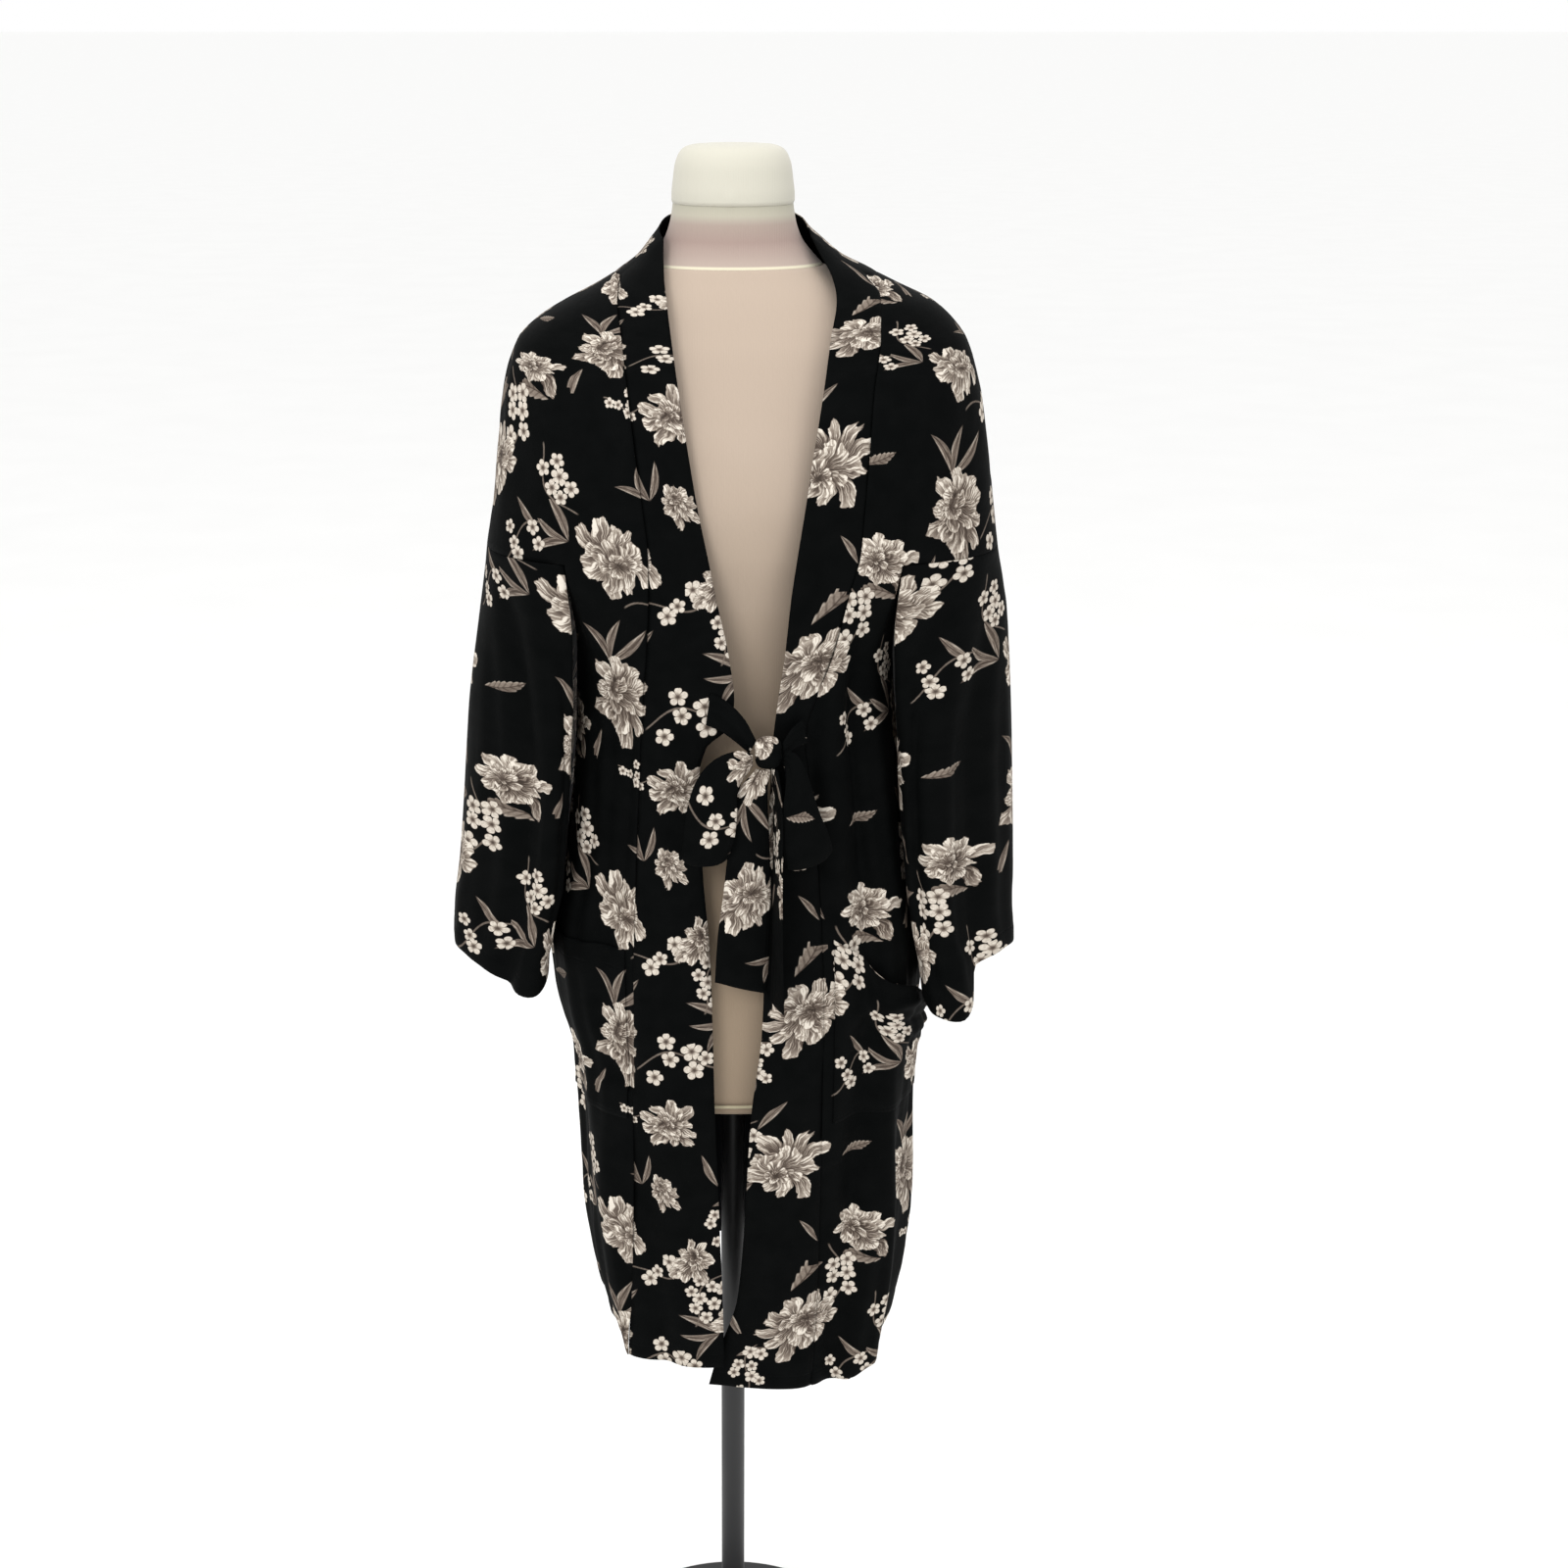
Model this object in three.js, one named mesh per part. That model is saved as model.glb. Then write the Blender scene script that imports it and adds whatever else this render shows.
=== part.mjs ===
import * as THREE from 'three';

// A kimono coat with a tie front, worn by a limbless dress form on a pole stand.
// Millimetres, +Z up, X to the right as seen from the front, the front faces -Y.
// The origin is the middle of the stand's base, on the floor.

// Named sizes

const CLOTH = 1.2;            // wall of every cloth piece
const SEAM = 0.4;             // clear gap where two pieces meet
const NECK_POINT_Z = 1470;    // where band, front and back meet on the shoulder
const BACK_NECK_DIP = 15;     // how far the back neck seam drops at its middle
const ARMHOLE_Z = 1230;       // level of the dropped armhole seam
const UNDERARM_Z = 1198;      // lowest point of that seam, under the arm
const UNDERARM_X = 151;       // its distance from the middle
const SPLIT_X = 146;          // where the front sheet parts into body and sleeve
const SPLIT_FADE = 130;       // height over which the parting takes its own shape

const RIM_Z = 695;            // underside of the dress form
const NECK_SEAM_Z = 1478;     // seam between the form's torso and neck covers
const CAP_FOOT_Z = 1531;      // lower edge of the neck cap
const POLE_R = 12;
const BASE_R = 145;
const BASE_THICK = 8;

// Rows and columns of the cloth meshes

const YOKE_ROWS = 12;         // shoulder to armhole level
const SPLIT_COLUMNS = 7;      // band seam to the parting line
const FRONT_ARM_COLUMNS = 7;  // parting line to the arm's outer line, front
const BACK_ARM_COLUMNS = 5;   // the same, back
const BACK_COLUMNS = 6;       // parting line to the middle of the back
const BAND_COLUMNS = 3;

const table = (names, rows) =>
  rows.map((row) => Object.fromEntries(names.map((name, i) => [name, row[i]])));

// Heights of the cross rows below the armhole. The last three follow the hem.
const BODY_LEVELS = [
  1230, 1203, 1174, 1143, 1112, 1088, 1066, 1036, 1000, 958, 912, 866,
  836, 806, 776, 742, 690, 640, 590, 540, 490,
];

// Half widths and depths of the coat above the armhole level, sleeves included
const YOKE = table(['z', 'left', 'right', 'front', 'back', 'square'], [
  [1530, 59, 60, 62, 66, 2.1],
  [1513, 63, 64, 64, 72, 2.1],
  [1495, 74, 82, 67, 82, 2.2],
  [1483, 84, 97, 71, 90, 2.2],
  [1471, 102, 123, 78, 97, 2.3],
  [1459, 122, 148, 86, 103, 2.3],
  [1444, 151, 179, 94, 108, 2.4],
  [1429, 175, 196, 100, 112, 2.5],
  [1412, 192, 208, 106, 116, 2.6],
  [1373, 205, 219, 117, 121, 2.7],
  [1328, 211, 227, 125, 124, 2.7],
  [1279, 217, 234, 129, 125, 2.7],
  [1230, 224, 241, 129, 124, 2.7],
]);

// Half widths and depths of the body of the coat below the armholes
const BODY = table(['z', 'left', 'right', 'front', 'back', 'square'], [
  [1230, 149, 149, 129, 124, 3.2],
  [1150, 144, 146, 127, 122, 2.7],
  [1069, 146, 150, 123, 121, 2.5],
  [960, 155, 161, 123, 126, 2.5],
  [860, 172, 176, 125, 134, 2.5],
  [800, 168, 177, 125, 136, 2.5],
  [726, 153, 176, 123, 135, 2.5],
  [651, 151, 177, 120, 133, 2.5],
  [575, 149, 179, 118, 131, 2.5],
  [508, 141, 174, 117, 129, 2.5],
  [430, 126, 161, 115, 127, 2.5],
  [390, 124, 155, 115, 127, 2.5],
]);

// X of the front edges and of the seams between band and front, down the opening
const OPENING = table(['z', 'leftEdge', 'leftSeam', 'rightEdge', 'rightSeam'], [
  [1514, -60, -97, 62, 107],
  [1490, -60, -98, 75, 110],
  [1470, -59, -99, 86, 116],
  [1455, -57, -100, 89, 127],
  [1425, -53, -96, 84, 127],
  [1377, -46, -90, 77, 121],
  [1320, -37, -83, 68, 117],
  [1279, -30, -78, 62, 114],
  [1240, -22, -74, 56, 111],
  [1204, -15, -74, 51, 101],
  [1146, -3, -77, 45, 86],
  [1110, 1, -80, 40, 74],
  [1085, -4, -81, 37, 66],
  [1065, -24, -83, 35, 64],
  [1040, -30, -84, 34, 67],
  [956, -28, -88, 31, 76],
  [862, -21, -92, 29, 82],
  [792, -19, -93, 27, 84],
  [700, -17, -95, 17, 84],
  [585, -13, -97, 11, 83],
  [500, -10, -98, 4, 82],
  [437, -9, -99, -15, 80],
  [390, -9, -99, -27, 78],
]);

// Height of the band's upper edge while its seam climbs to the neck point
const COLLAR_RISE = table(['z', 'height'], [
  [1425, 1425],
  [1450, 1450.5],
  [1462, 1466],
  [1467, 1484],
  [1470, 1502],
]);

// The band's upper edge round the back of the neck, by the turn of its seam
const COLLAR_BACK = table(['turn', 'edgeTurn', 'height'], [
  [0, -8, 1509],
  [30, 24, 1517],
  [60, 57, 1523],
  [90, 90, 1526],
]);

// Sleeve rings: middle, half width, half depth and how far the fore and aft
// edges lean in towards the body
const SLEEVE = table(['z', 'leftX', 'leftHalf', 'rightX', 'rightHalf', 'deep', 'lean'], [
  [1230, 187, 38, 199, 43, 101, 30],
  [1150, 195, 42, 207, 48, 98, 44],
  [1069, 203, 45, 212, 49, 96, 47],
  [990, 210, 45, 217, 48, 95, 47],
  [920, 217, 45, 222, 46, 94, 47],
  [870, 225, 45, 226, 43, 93, 44],
  [840, 226, 46, 228, 43, 92, 37],
  [800, 226, 48, 229, 42, 92, 32],
]);

// Cuff edge height round the sleeve, from the outer line over the front
const CUFF = table(['turn', 'left', 'right'], [
  [0, 846, 838],
  [30, 836, 841],
  [50, 829, 832],
  [60, 823, 798],
  [74, 817, 787],
  [92, 816, 793],
  [108, 825, 806],
  [130, 840, 828],
  [180, 850, 832],
  [270, 835, 826],
  [360, 846, 838],
]);

// Hem height from the band seam (0) over the side seam (1) to the middle back (2)
const HEM = table(['place', 'left', 'right'], [
  [-1, 427, 403],
  [0, 424, 395],
  [0.3, 429, 398],
  [0.6, 457, 412],
  [1, 473, 442],
  [2, 440, 440],
]);

// Largest folds of body and yoke: trough or ridge by turn round the section
const BODY_FOLDS = table(['side', 'turnTop', 'turnFoot', 'top', 'foot', 'wide', 'deep'], [
  [1, -44, -50, 1320, 560, 7, -9],
  [1, -53, -58, 1250, 640, 5, 5],
  [1, -36, -38, 1160, 400, 7, 6],
  [1, -54, -55, 760, 380, 6, -8],
  [1, -24, -24, 720, 380, 8, -7],
  [-1, -46, -48, 1180, 720, 7, -6],
  [-1, -58, -60, 720, 380, 6, -7],
  [-1, -40, -42, 700, 380, 7, 6],
  [-1, -20, -22, 760, 380, 8, -6],
  [1, 42, 48, 1330, 380, 9, -9],
  [1, 62, 68, 1180, 380, 8, 7],
  [1, 24, 26, 1100, 380, 8, 5],
  [-1, 44, 50, 1330, 380, 9, -9],
  [-1, 70, 76, 1200, 380, 8, -7],
  [-1, 26, 28, 1120, 380, 8, 6],
]);

// Largest folds of the sleeves: turn is 0 at the outer line, 90 at the front
const SLEEVE_FOLDS = table(['side', 'turnTop', 'turnFoot', 'top', 'foot', 'wide', 'deep'], [
  [-1, 62, 66, 1290, 780, 9, -8],
  [-1, 84, 88, 1230, 780, 12, 5],
  [1, 46, 50, 1400, 780, 9, -9],
  [1, 72, 76, 1230, 780, 13, 6],
  [-1, 292, 288, 1250, 780, 14, -7],
  [1, 288, 292, 1250, 780, 14, -7],
]);

// Patch pockets, in rows and columns of the front panel
const POCKET_TOP_ROW = 11;
const POCKET_FOOT_ROW = 16;
const POCKET_FIRST_COLUMN = 1;
const POCKETS = table(['side', 'lastColumn', 'bulge', 'sag'], [
  [-1, 13, 2, 4],
  [1, 12, 12, 54],
]);

// Straps, bow loops and tails of the tie. Each row is a cross line of the flat
// strip: its middle, its width, how far it turns from facing the front and how
// far it rolls from lying level.
const STRIP = ['x', 'y', 'z', 'wide', 'turn', 'roll'];
const TIE_STRAP_LEFT = table(STRIP, [
  [-22, -126.4, 1103, 30, 0, 82],
  [-9, -128.6, 1097, 27, 0, 76],
  [5, -133.5, 1086, 22, 0, 66],
  [17.4, -138.0, 1071, 13, 0, 64],
]);
const TIE_STRAP_RIGHT = table(STRIP, [
  [64, -125.6, 1082, 22, 0, 100],
  [54, -131.0, 1077, 18, 0, 100],
  [44.4, -137.5, 1068, 12, 0, 96],
]);
const BOW_LOOP_LEFT = table(STRIP, [
  [17.1, -141, 1060, 8, 0, 74],
  [4, -147, 1053, 20, 0, 56],
  [-12, -150, 1036, 34, 2, 30],
  [-22, -151, 1012, 42, 4, 10],
  [-26, -150, 986, 43, 5, 0],
  [-27, -149, 968, 42, 6, 0],
  [-27, -145, 959, 42, 6, 0],
  [-27, -140.5, 964, 41, 6, 0],
  [-25, -137.5, 988, 40, 5, 0],
  [-20, -136, 1016, 36, 4, 10],
  [-8, -136, 1036, 26, 2, 30],
  [4, -136, 1048, 16, 0, 50],
  [17.0, -137, 1056, 8, 0, 60],
]);
const BOW_LOOP_RIGHT = table(STRIP, [
  [45.6, -141, 1063, 8, 0, 106],
  [54, -147, 1052, 22, -2, 128],
  [63, -150, 1030, 32, -6, 150],
  [69, -150, 1004, 38, -10, 168],
  [71, -149, 980, 40, -12, 176],
  [72, -147, 963, 40, -12, 180],
  [72, -143, 955, 40, -12, 180],
  [72, -138.5, 960, 39, -12, 180],
  [70, -136, 984, 37, -10, 176],
  [66, -134, 1010, 32, -8, 164],
  [57, -134, 1034, 22, -4, 140],
  [45.8, -136, 1056, 8, 0, 110],
]);
const TAIL_FRONT = table(STRIP, [
  [27, -139.5, 1050.9, 12, 0, 0],
  [19, -143, 1032, 22, 0, 0],
  [15, -142, 1004, 31, 2, 0],
  [14.5, -140, 970, 36, 4, 0],
  [14, -138, 930, 41, 5, 0],
  [11.5, -136, 884, 46, 4, 0],
  [9, -134, 838, 49, 2, 0],
]);
const TAIL_SIDE = table(STRIP, [
  [36.5, -139, 1050.9, 8, -50, 0],
  [39.5, -142, 1030, 18, -66, 0],
  [40.5, -145, 1000, 27, -74, 0],
  [40.5, -146, 950, 31, -76, 0],
  [40.5, -146, 890, 32, -74, 0],
  [41, -144, 822, 33, -70, 0],
]);

// Rings of the dress form. Deep sizes run from the middle plane.
const FORM = table(['z', 'half', 'front', 'back', 'square'], [
  [695, 138, 104, 114, 2.2],
  [720, 142, 106, 118, 2.2],
  [780, 151, 109, 125, 2.2],
  [830, 155, 110, 128, 2.2],
  [880, 152, 109, 126, 2.2],
  [940, 144, 105, 116, 2.2],
  [1000, 128, 98, 104, 2.2],
  [1060, 118, 93, 96, 2.2],
  [1120, 120, 95, 96, 2.2],
  [1190, 130, 106, 103, 2.2],
  [1240, 139, 117, 109, 2.2],
  [1280, 144, 121, 112, 2.2],
  [1320, 151, 117, 114, 2.2],
  [1360, 163, 108, 113, 2.2],
  [1390, 175, 100, 110, 2.2],
  [1410, 178, 94, 106, 2.2],
  [1425, 167, 88, 102, 2.2],
  [1440, 148, 82, 97, 2.1],
  [1455, 121, 75, 91, 2.1],
  [1467, 99, 68, 85, 2.1],
  [1478, 80, 62, 77, 2.1],
]);
const FORM_NECK = table(['z', 'half', 'front', 'back', 'square'], [
  [1478, 79.6, 61.6, 76.6, 2.1],
  [1487, 71, 56, 67, 2.1],
  [1500, 61, 51, 58, 2.1],
  [1515, 55.5, 49, 53, 2.1],
  [1531, 53, 48, 51, 2.1],
]);
const FORM_CAP = table(['z', 'half', 'front', 'back', 'square'], [
  [1531, 51.4, 48, 51, 2.1],
  [1533, 52.6, 49.5, 52.5, 2.1],
  [1548, 51.8, 49, 52, 2.1],
  [1562, 49.4, 46.5, 49.5, 2.1],
  [1571, 45, 42, 45, 2.1],
  [1577, 37, 34.5, 37.5, 2.1],
  [1580, 24, 22, 24, 2.1],
]);

// Tools for reading the tables

const radians = (degrees) => (degrees * Math.PI) / 180;
const mix = (a, b, t) => a + (b - a) * t;
const clamp01 = (t) => Math.min(1, Math.max(0, t));
const ease = (t) => {
  const u = clamp01(t);
  return u * u * (3 - 2 * u);
};

// A smooth curve through one column of a table that never overshoots its rows
function curve(rows, column, against = 'z') {
  const sorted = [...rows].sort((a, b) => a[against] - b[against]);
  const x = sorted.map((row) => row[against]);
  const y = sorted.map((row) => row[column]);
  const last = x.length - 1;
  const rise = x.slice(1).map((v, i) => (y[i + 1] - y[i]) / (v - x[i]));
  const slope = y.map((_, i) => {
    if (i === 0) return rise[0];
    if (i === last) return rise[last - 1];
    const product = rise[i - 1] * rise[i];
    return product <= 0 ? 0 : (2 * product) / (rise[i - 1] + rise[i]);
  });
  return (at) => {
    if (at <= x[0]) return y[0];
    if (at >= x[last]) return y[last];
    let i = 0;
    while (x[i + 1] < at) i += 1;
    const h = x[i + 1] - x[i];
    const t = (at - x[i]) / h;
    const t2 = t * t;
    const t3 = t2 * t;
    return (2 * t3 - 3 * t2 + 1) * y[i] + (t3 - 2 * t2 + t) * h * slope[i]
      + (3 * t2 - 2 * t3) * y[i + 1] + (t3 - t2) * h * slope[i + 1];
  };
}

const curves = (rows, columns, against) =>
  Object.fromEntries(columns.map((name) => [name, curve(rows, name, against)]));

const RING_COLUMNS = ['left', 'right', 'front', 'back', 'square'];
const yoke = curves(YOKE, RING_COLUMNS);
const body = curves(BODY, RING_COLUMNS);
const opening = curves(OPENING, ['leftEdge', 'leftSeam', 'rightEdge', 'rightSeam']);
const collarRise = curve(COLLAR_RISE, 'height');
const collarBack = curves(COLLAR_BACK, ['edgeTurn', 'height'], 'turn');
const sleeve = curves(SLEEVE, ['leftX', 'leftHalf', 'rightX', 'rightHalf', 'deep', 'lean']);
const cuff = curves(CUFF, ['left', 'right'], 'turn');
const hem = curves(HEM, ['left', 'right'], 'place');
const sideName = (side) => (side < 0 ? 'left' : 'right');

// Sections of the coat

// The section at height z, ready to give a point by its turn in degrees:
// -90 is the middle front, 0 the side, 90 the middle back.
function ring(kind, side, z) {
  return {
    half: kind[sideName(side)](z),
    front: kind.front(z),
    back: kind.back(z),
    square: kind.square(z),
  };
}

function ringPoint(r, side, turn) {
  const c = Math.cos(radians(turn));
  const s = Math.sin(radians(turn));
  const k = (Math.abs(c) ** r.square + Math.abs(s) ** r.square) ** (-1 / r.square);
  const depth = s < 0 ? r.front : r.back;
  return [side * r.half * c * k, depth * s * k];
}

function ringNormal(r, side, turn) {
  const [x, y] = ringPoint(r, side, turn);
  const depth = y < 0 ? r.front : r.back;
  const power = r.square - 1;
  const nx = (Math.sign(x) * Math.abs(x / r.half) ** power) / r.half;
  const ny = (Math.sign(y) * Math.abs(y / depth) ** power) / depth;
  const length = Math.hypot(nx, ny);
  return [nx / length, ny / length];
}

// The turn at which the front of a ring reaches a given x
function turnAt(r, side, x) {
  const u = (side * x) / r.half;
  const v = (1 - Math.abs(u) ** r.square) ** (1 / r.square);
  return -Math.atan2(v, u) / (Math.PI / 180);
}

// Turns of the landmarks on one row: edge, band seam, parting, side, parting, back
function landmarks(kind, side, z) {
  const r = ring(kind, side, z);
  const name = sideName(side);
  const edge = turnAt(r, side, opening[`${name}Edge`](z));
  const seam = turnAt(r, side, opening[`${name}Seam`](z));
  const atArmhole = turnAt(ring(yoke, side, ARMHOLE_Z), side, side * SPLIT_X);
  let split = -40;
  let splitBack = 40;
  if (kind === yoke) {
    const lift = ease((z - ARMHOLE_Z) / (NECK_POINT_Z - ARMHOLE_Z));
    split = mix(atArmhole, seam * 0.5, lift);
    splitBack = mix(-atArmhole, 40, lift);
  }
  return [edge, seam, split, 0, splitBack, 90];
}

// Column numbers run -1 at the front edge, 0 band seam, 1 parting line, 2 side,
// 3 parting line at the back, 4 middle back.
function turnOf(kind, side, column, z) {
  const marks = landmarks(kind, side, z);
  const at = Math.min(4.999999, column + 1);
  const i = Math.floor(at);
  return mix(marks[i], marks[i + 1] ?? marks[i], at - i);
}

function foldHeight(folds, side, turn, z) {
  let height = 0;
  for (const fold of folds) {
    if (fold.side !== side) continue;
    const along = (fold.top - z) / (fold.top - fold.foot);
    if (along <= 0 || along >= 1) continue;
    const middle = mix(fold.turnTop, fold.turnFoot, along);
    const off = (turn - middle) / fold.wide;
    height += fold.deep * ease(along * 3) * Math.exp(-off * off);
  }
  return height;
}

function onRing(kind, side, turn, z) {
  const r = ring(kind, side, z);
  const [x, y] = ringPoint(r, side, turn);
  const [nx, ny] = ringNormal(r, side, turn);
  const out = foldHeight(BODY_FOLDS, side, turn, z);
  return new THREE.Vector3(x + nx * out, y + ny * out, z);
}

// The line under the arm, from the parting in front to the parting at the back
function underarm(side, column) {
  const along = (column - 1) / 2;
  const front = onRing(yoke, side, turnOf(yoke, side, 1, ARMHOLE_Z), ARMHOLE_Z);
  const back = onRing(yoke, side, turnOf(yoke, side, 3, ARMHOLE_Z), ARMHOLE_Z);
  const belly = Math.sin(Math.PI * along);
  const x = mix(front.x, back.x, along) + side * (UNDERARM_X - SPLIT_X) * belly;
  const y = mix(front.y, back.y, along);
  return new THREE.Vector3(x, y, ARMHOLE_Z - (ARMHOLE_Z - UNDERARM_Z) * belly);
}

function seamAtArmhole(side, column) {
  if (column > 1 && column < 3) return underarm(side, column);
  return onRing(yoke, side, turnOf(yoke, side, column, ARMHOLE_Z), ARMHOLE_Z);
}

// A point of the coat's body below the armholes
function bodyPoint(side, column, z) {
  const point = onRing(body, side, turnOf(body, side, column, z), z);
  const fade = 1 - ease((ARMHOLE_Z - z) / SPLIT_FADE);
  if (fade > 0) {
    const start = onRing(body, side, turnOf(body, side, column, ARMHOLE_Z), ARMHOLE_Z);
    point.addScaledVector(seamAtArmhole(side, column).sub(start), fade);
  }
  if (side > 0 && column < 1) point.y += 7 * ease((570 - z) / 110) * clamp01(1 - column);
  return point;
}

// Heights of the rows. Above the armhole they crowd towards the shoulder.
function yokeLevel(row) {
  return NECK_POINT_Z - (NECK_POINT_Z - ARMHOLE_Z) * (row / YOKE_ROWS) ** 1.6;
}

function bodyLevel(side, row, column) {
  const place = column <= 0 ? column : column / 2;
  const foot = hem[sideName(side)](place);
  const knee = BODY_LEVELS[17];
  if (row <= 17) return BODY_LEVELS[row];
  return mix(knee, foot, (row - 17) / (BODY_LEVELS.length - 17));
}

const BODY_ROWS = BODY_LEVELS.length;

// Building sheets

// A sheet is a set of points and quads, faced outwards. It becomes a closed wall
// by moving a copy of its points out along their normals.
class Sheet {
  constructor() {
    this.points = [];
    this.quads = [];
  }

  add(point) {
    this.points.push(point.clone());
    return this.points.length - 1;
  }

  grid(ids, flip) {
    for (let i = 0; i + 1 < ids.length; i += 1) {
      for (let j = 0; j + 1 < ids[i].length; j += 1) {
        const quad = [ids[i][j], ids[i + 1][j], ids[i + 1][j + 1], ids[i][j + 1]];
        this.quads.push(flip ? quad.reverse() : quad);
      }
    }
  }

  triangles() {
    return this.quads.flatMap(([a, b, c, d]) => [[a, b, c], [a, c, d]]);
  }

  normals() {
    const normals = this.points.map(() => new THREE.Vector3());
    for (const [a, b, c] of this.triangles()) {
      const u = this.points[b].clone().sub(this.points[a]);
      const v = this.points[c].clone().sub(this.points[a]);
      const n = u.cross(v);
      [a, b, c].forEach((i) => normals[i].add(n));
    }
    return normals.map((n) => n.normalize());
  }

  // Draws one rim line back from its neighbours, so that a seam keeps its gap
  draw(ids, inner, distance = SEAM / 2) {
    ids.forEach((id, i) => {
      const way = this.points[inner[i]].clone().sub(this.points[id]).normalize();
      this.points[id].addScaledVector(way, distance);
    });
  }

  geometry() {
    const faces = this.triangles();
    const normals = this.normals();
    const count = this.points.length;
    const outer = this.points.map((p, i) => p.clone().addScaledVector(normals[i], CLOTH));
    const index = [];
    const edges = new Map();
    for (const [a, b, c] of faces) {
      index.push(a + count, b + count, c + count, a, c, b);
      [[a, b], [b, c], [c, a]].forEach(([p, q]) => edges.set(`${p} ${q}`, [p, q]));
    }
    for (const [p, q] of edges.values()) {
      if (edges.has(`${q} ${p}`)) continue;
      index.push(p, q, q + count, p, q + count, p + count);
    }
    return geometryFrom([...this.points, ...outer], index);
  }
}

function geometryFrom(points, index) {
  const geometry = new THREE.BufferGeometry();
  const flat = points.flatMap((p) => [p.x, p.y, p.z]);
  geometry.setAttribute('position', new THREE.Float32BufferAttribute(flat, 3));
  geometry.setIndex(index);
  geometry.computeVertexNormals();
  return geometry;
}

const column = (ids, j) => ids.map((row) => row.at(j));

// The front panel of one side, with its share of the upper sleeve
function frontSheet(side) {
  const sheet = new Sheet();
  const yokeIds = [];
  const columns = [];
  for (let j = 0; j <= SPLIT_COLUMNS; j += 1) columns.push(j / SPLIT_COLUMNS);
  for (let j = 1; j <= FRONT_ARM_COLUMNS; j += 1) columns.push(1 + j / FRONT_ARM_COLUMNS);
  for (let i = 0; i <= YOKE_ROWS; i += 1) {
    const z = yokeLevel(i);
    yokeIds.push(columns.map((c) => sheet.add(onRing(yoke, side, turnOf(yoke, side, c, z), z))));
  }
  const last = yokeIds.at(-1);
  const bodyIds = [columns.map((c, j) =>
    (j <= SPLIT_COLUMNS ? last[j] : sheet.add(underarm(side, c))))];
  for (let i = 1; i <= BODY_ROWS; i += 1) {
    bodyIds.push(columns.map((c) => sheet.add(bodyPoint(side, c, bodyLevel(side, i, c)))));
  }
  sheet.grid(yokeIds, side < 0);
  sheet.grid(bodyIds, side < 0);
  return { sheet, yokeIds, bodyIds };
}

// The back panel, from the left side round to the right
function backSheet() {
  const sheet = new Sheet();
  const half = [];
  for (let j = 0; j <= BACK_ARM_COLUMNS; j += 1) half.push(2 + j / BACK_ARM_COLUMNS);
  for (let j = 1; j <= BACK_COLUMNS; j += 1) half.push(3 + j / BACK_COLUMNS);
  const columns = [
    ...half.map((c) => ({ side: 1, c })),
    ...half.slice(0, -1).reverse().map((c) => ({ side: -1, c })),
  ];
  const centreBlend = (side, c, point, make) => {
    if (c < 4) return point;
    return point.add(make(-side)).multiplyScalar(0.5);
  };
  const yokeIds = [];
  for (let i = 0; i <= YOKE_ROWS; i += 1) {
    yokeIds.push(columns.map(({ side, c }) => {
      const level = yokeLevel(i);
      const make = (s) => {
        const turn = turnOf(yoke, s, c, level);
        const dip = BACK_NECK_DIP * Math.sin(radians(turn)) * (1 - i / YOKE_ROWS) ** 2;
        return onRing(yoke, s, turn, level - dip);
      };
      return sheet.add(centreBlend(side, c, make(side), make));
    }));
  }
  const last = yokeIds.at(-1);
  const bodyIds = [columns.map(({ side, c }, j) =>
    (c >= 3 ? last[j] : sheet.add(underarm(side, c))))];
  for (let i = 1; i <= BODY_ROWS; i += 1) {
    bodyIds.push(columns.map(({ side, c }) => {
      const make = (s) => bodyPoint(s, c, bodyLevel(s, i, c));
      return sheet.add(centreBlend(side, c, make(side), make));
    }));
  }
  sheet.grid(yokeIds, false);
  sheet.grid(bodyIds, false);
  return { sheet, yokeIds, bodyIds, columns };
}

// One half of the neck band, from the hem to the middle of the back neck
function bandSheet(side, back) {
  const sheet = new Sheet();
  const stations = [];
  for (let i = BODY_ROWS; i >= 1; i -= 1) {
    stations.push((w) => bodyPoint(side, -w, bodyLevel(side, i, -w)));
  }
  for (let i = YOKE_ROWS; i >= 0; i -= 1) {
    const z = yokeLevel(i);
    const seamTurn = turnOf(yoke, side, 0, z);
    const edgeZ = z < 1425 ? z : collarRise(z);
    const edgeX = opening[`${sideName(side)}Edge`](edgeZ);
    const edgeTurn = turnAt(ring(yoke, side, edgeZ), side, edgeX);
    stations.push((w) => onRing(yoke, side, mix(seamTurn, edgeTurn, w), mix(z, edgeZ, w)));
  }
  const half = back.columns.filter((entry) => entry.side === 1).map((entry) => entry.c);
  for (const c of half) {
    const turn = turnOf(yoke, side, c, NECK_POINT_Z);
    const z = NECK_POINT_Z - BACK_NECK_DIP * Math.sin(radians(turn));
    const edgeTurn = collarBack.edgeTurn(turn);
    const edgeZ = collarBack.height(turn);
    stations.push((w) => {
      const point = onRing(yoke, side, mix(turn, edgeTurn, w), mix(z, edgeZ, w));
      if (c < 4) return point;
      const other = onRing(yoke, -side, mix(turn, edgeTurn, w), mix(z, edgeZ, w));
      return point.add(other).multiplyScalar(0.5);
    });
  }
  const ids = stations.map((at) => {
    const row = [];
    for (let j = 0; j <= BAND_COLUMNS; j += 1) row.push(sheet.add(at(j / BAND_COLUMNS)));
    return row;
  });
  sheet.grid(ids, side < 0);
  return { sheet, ids };
}

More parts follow.
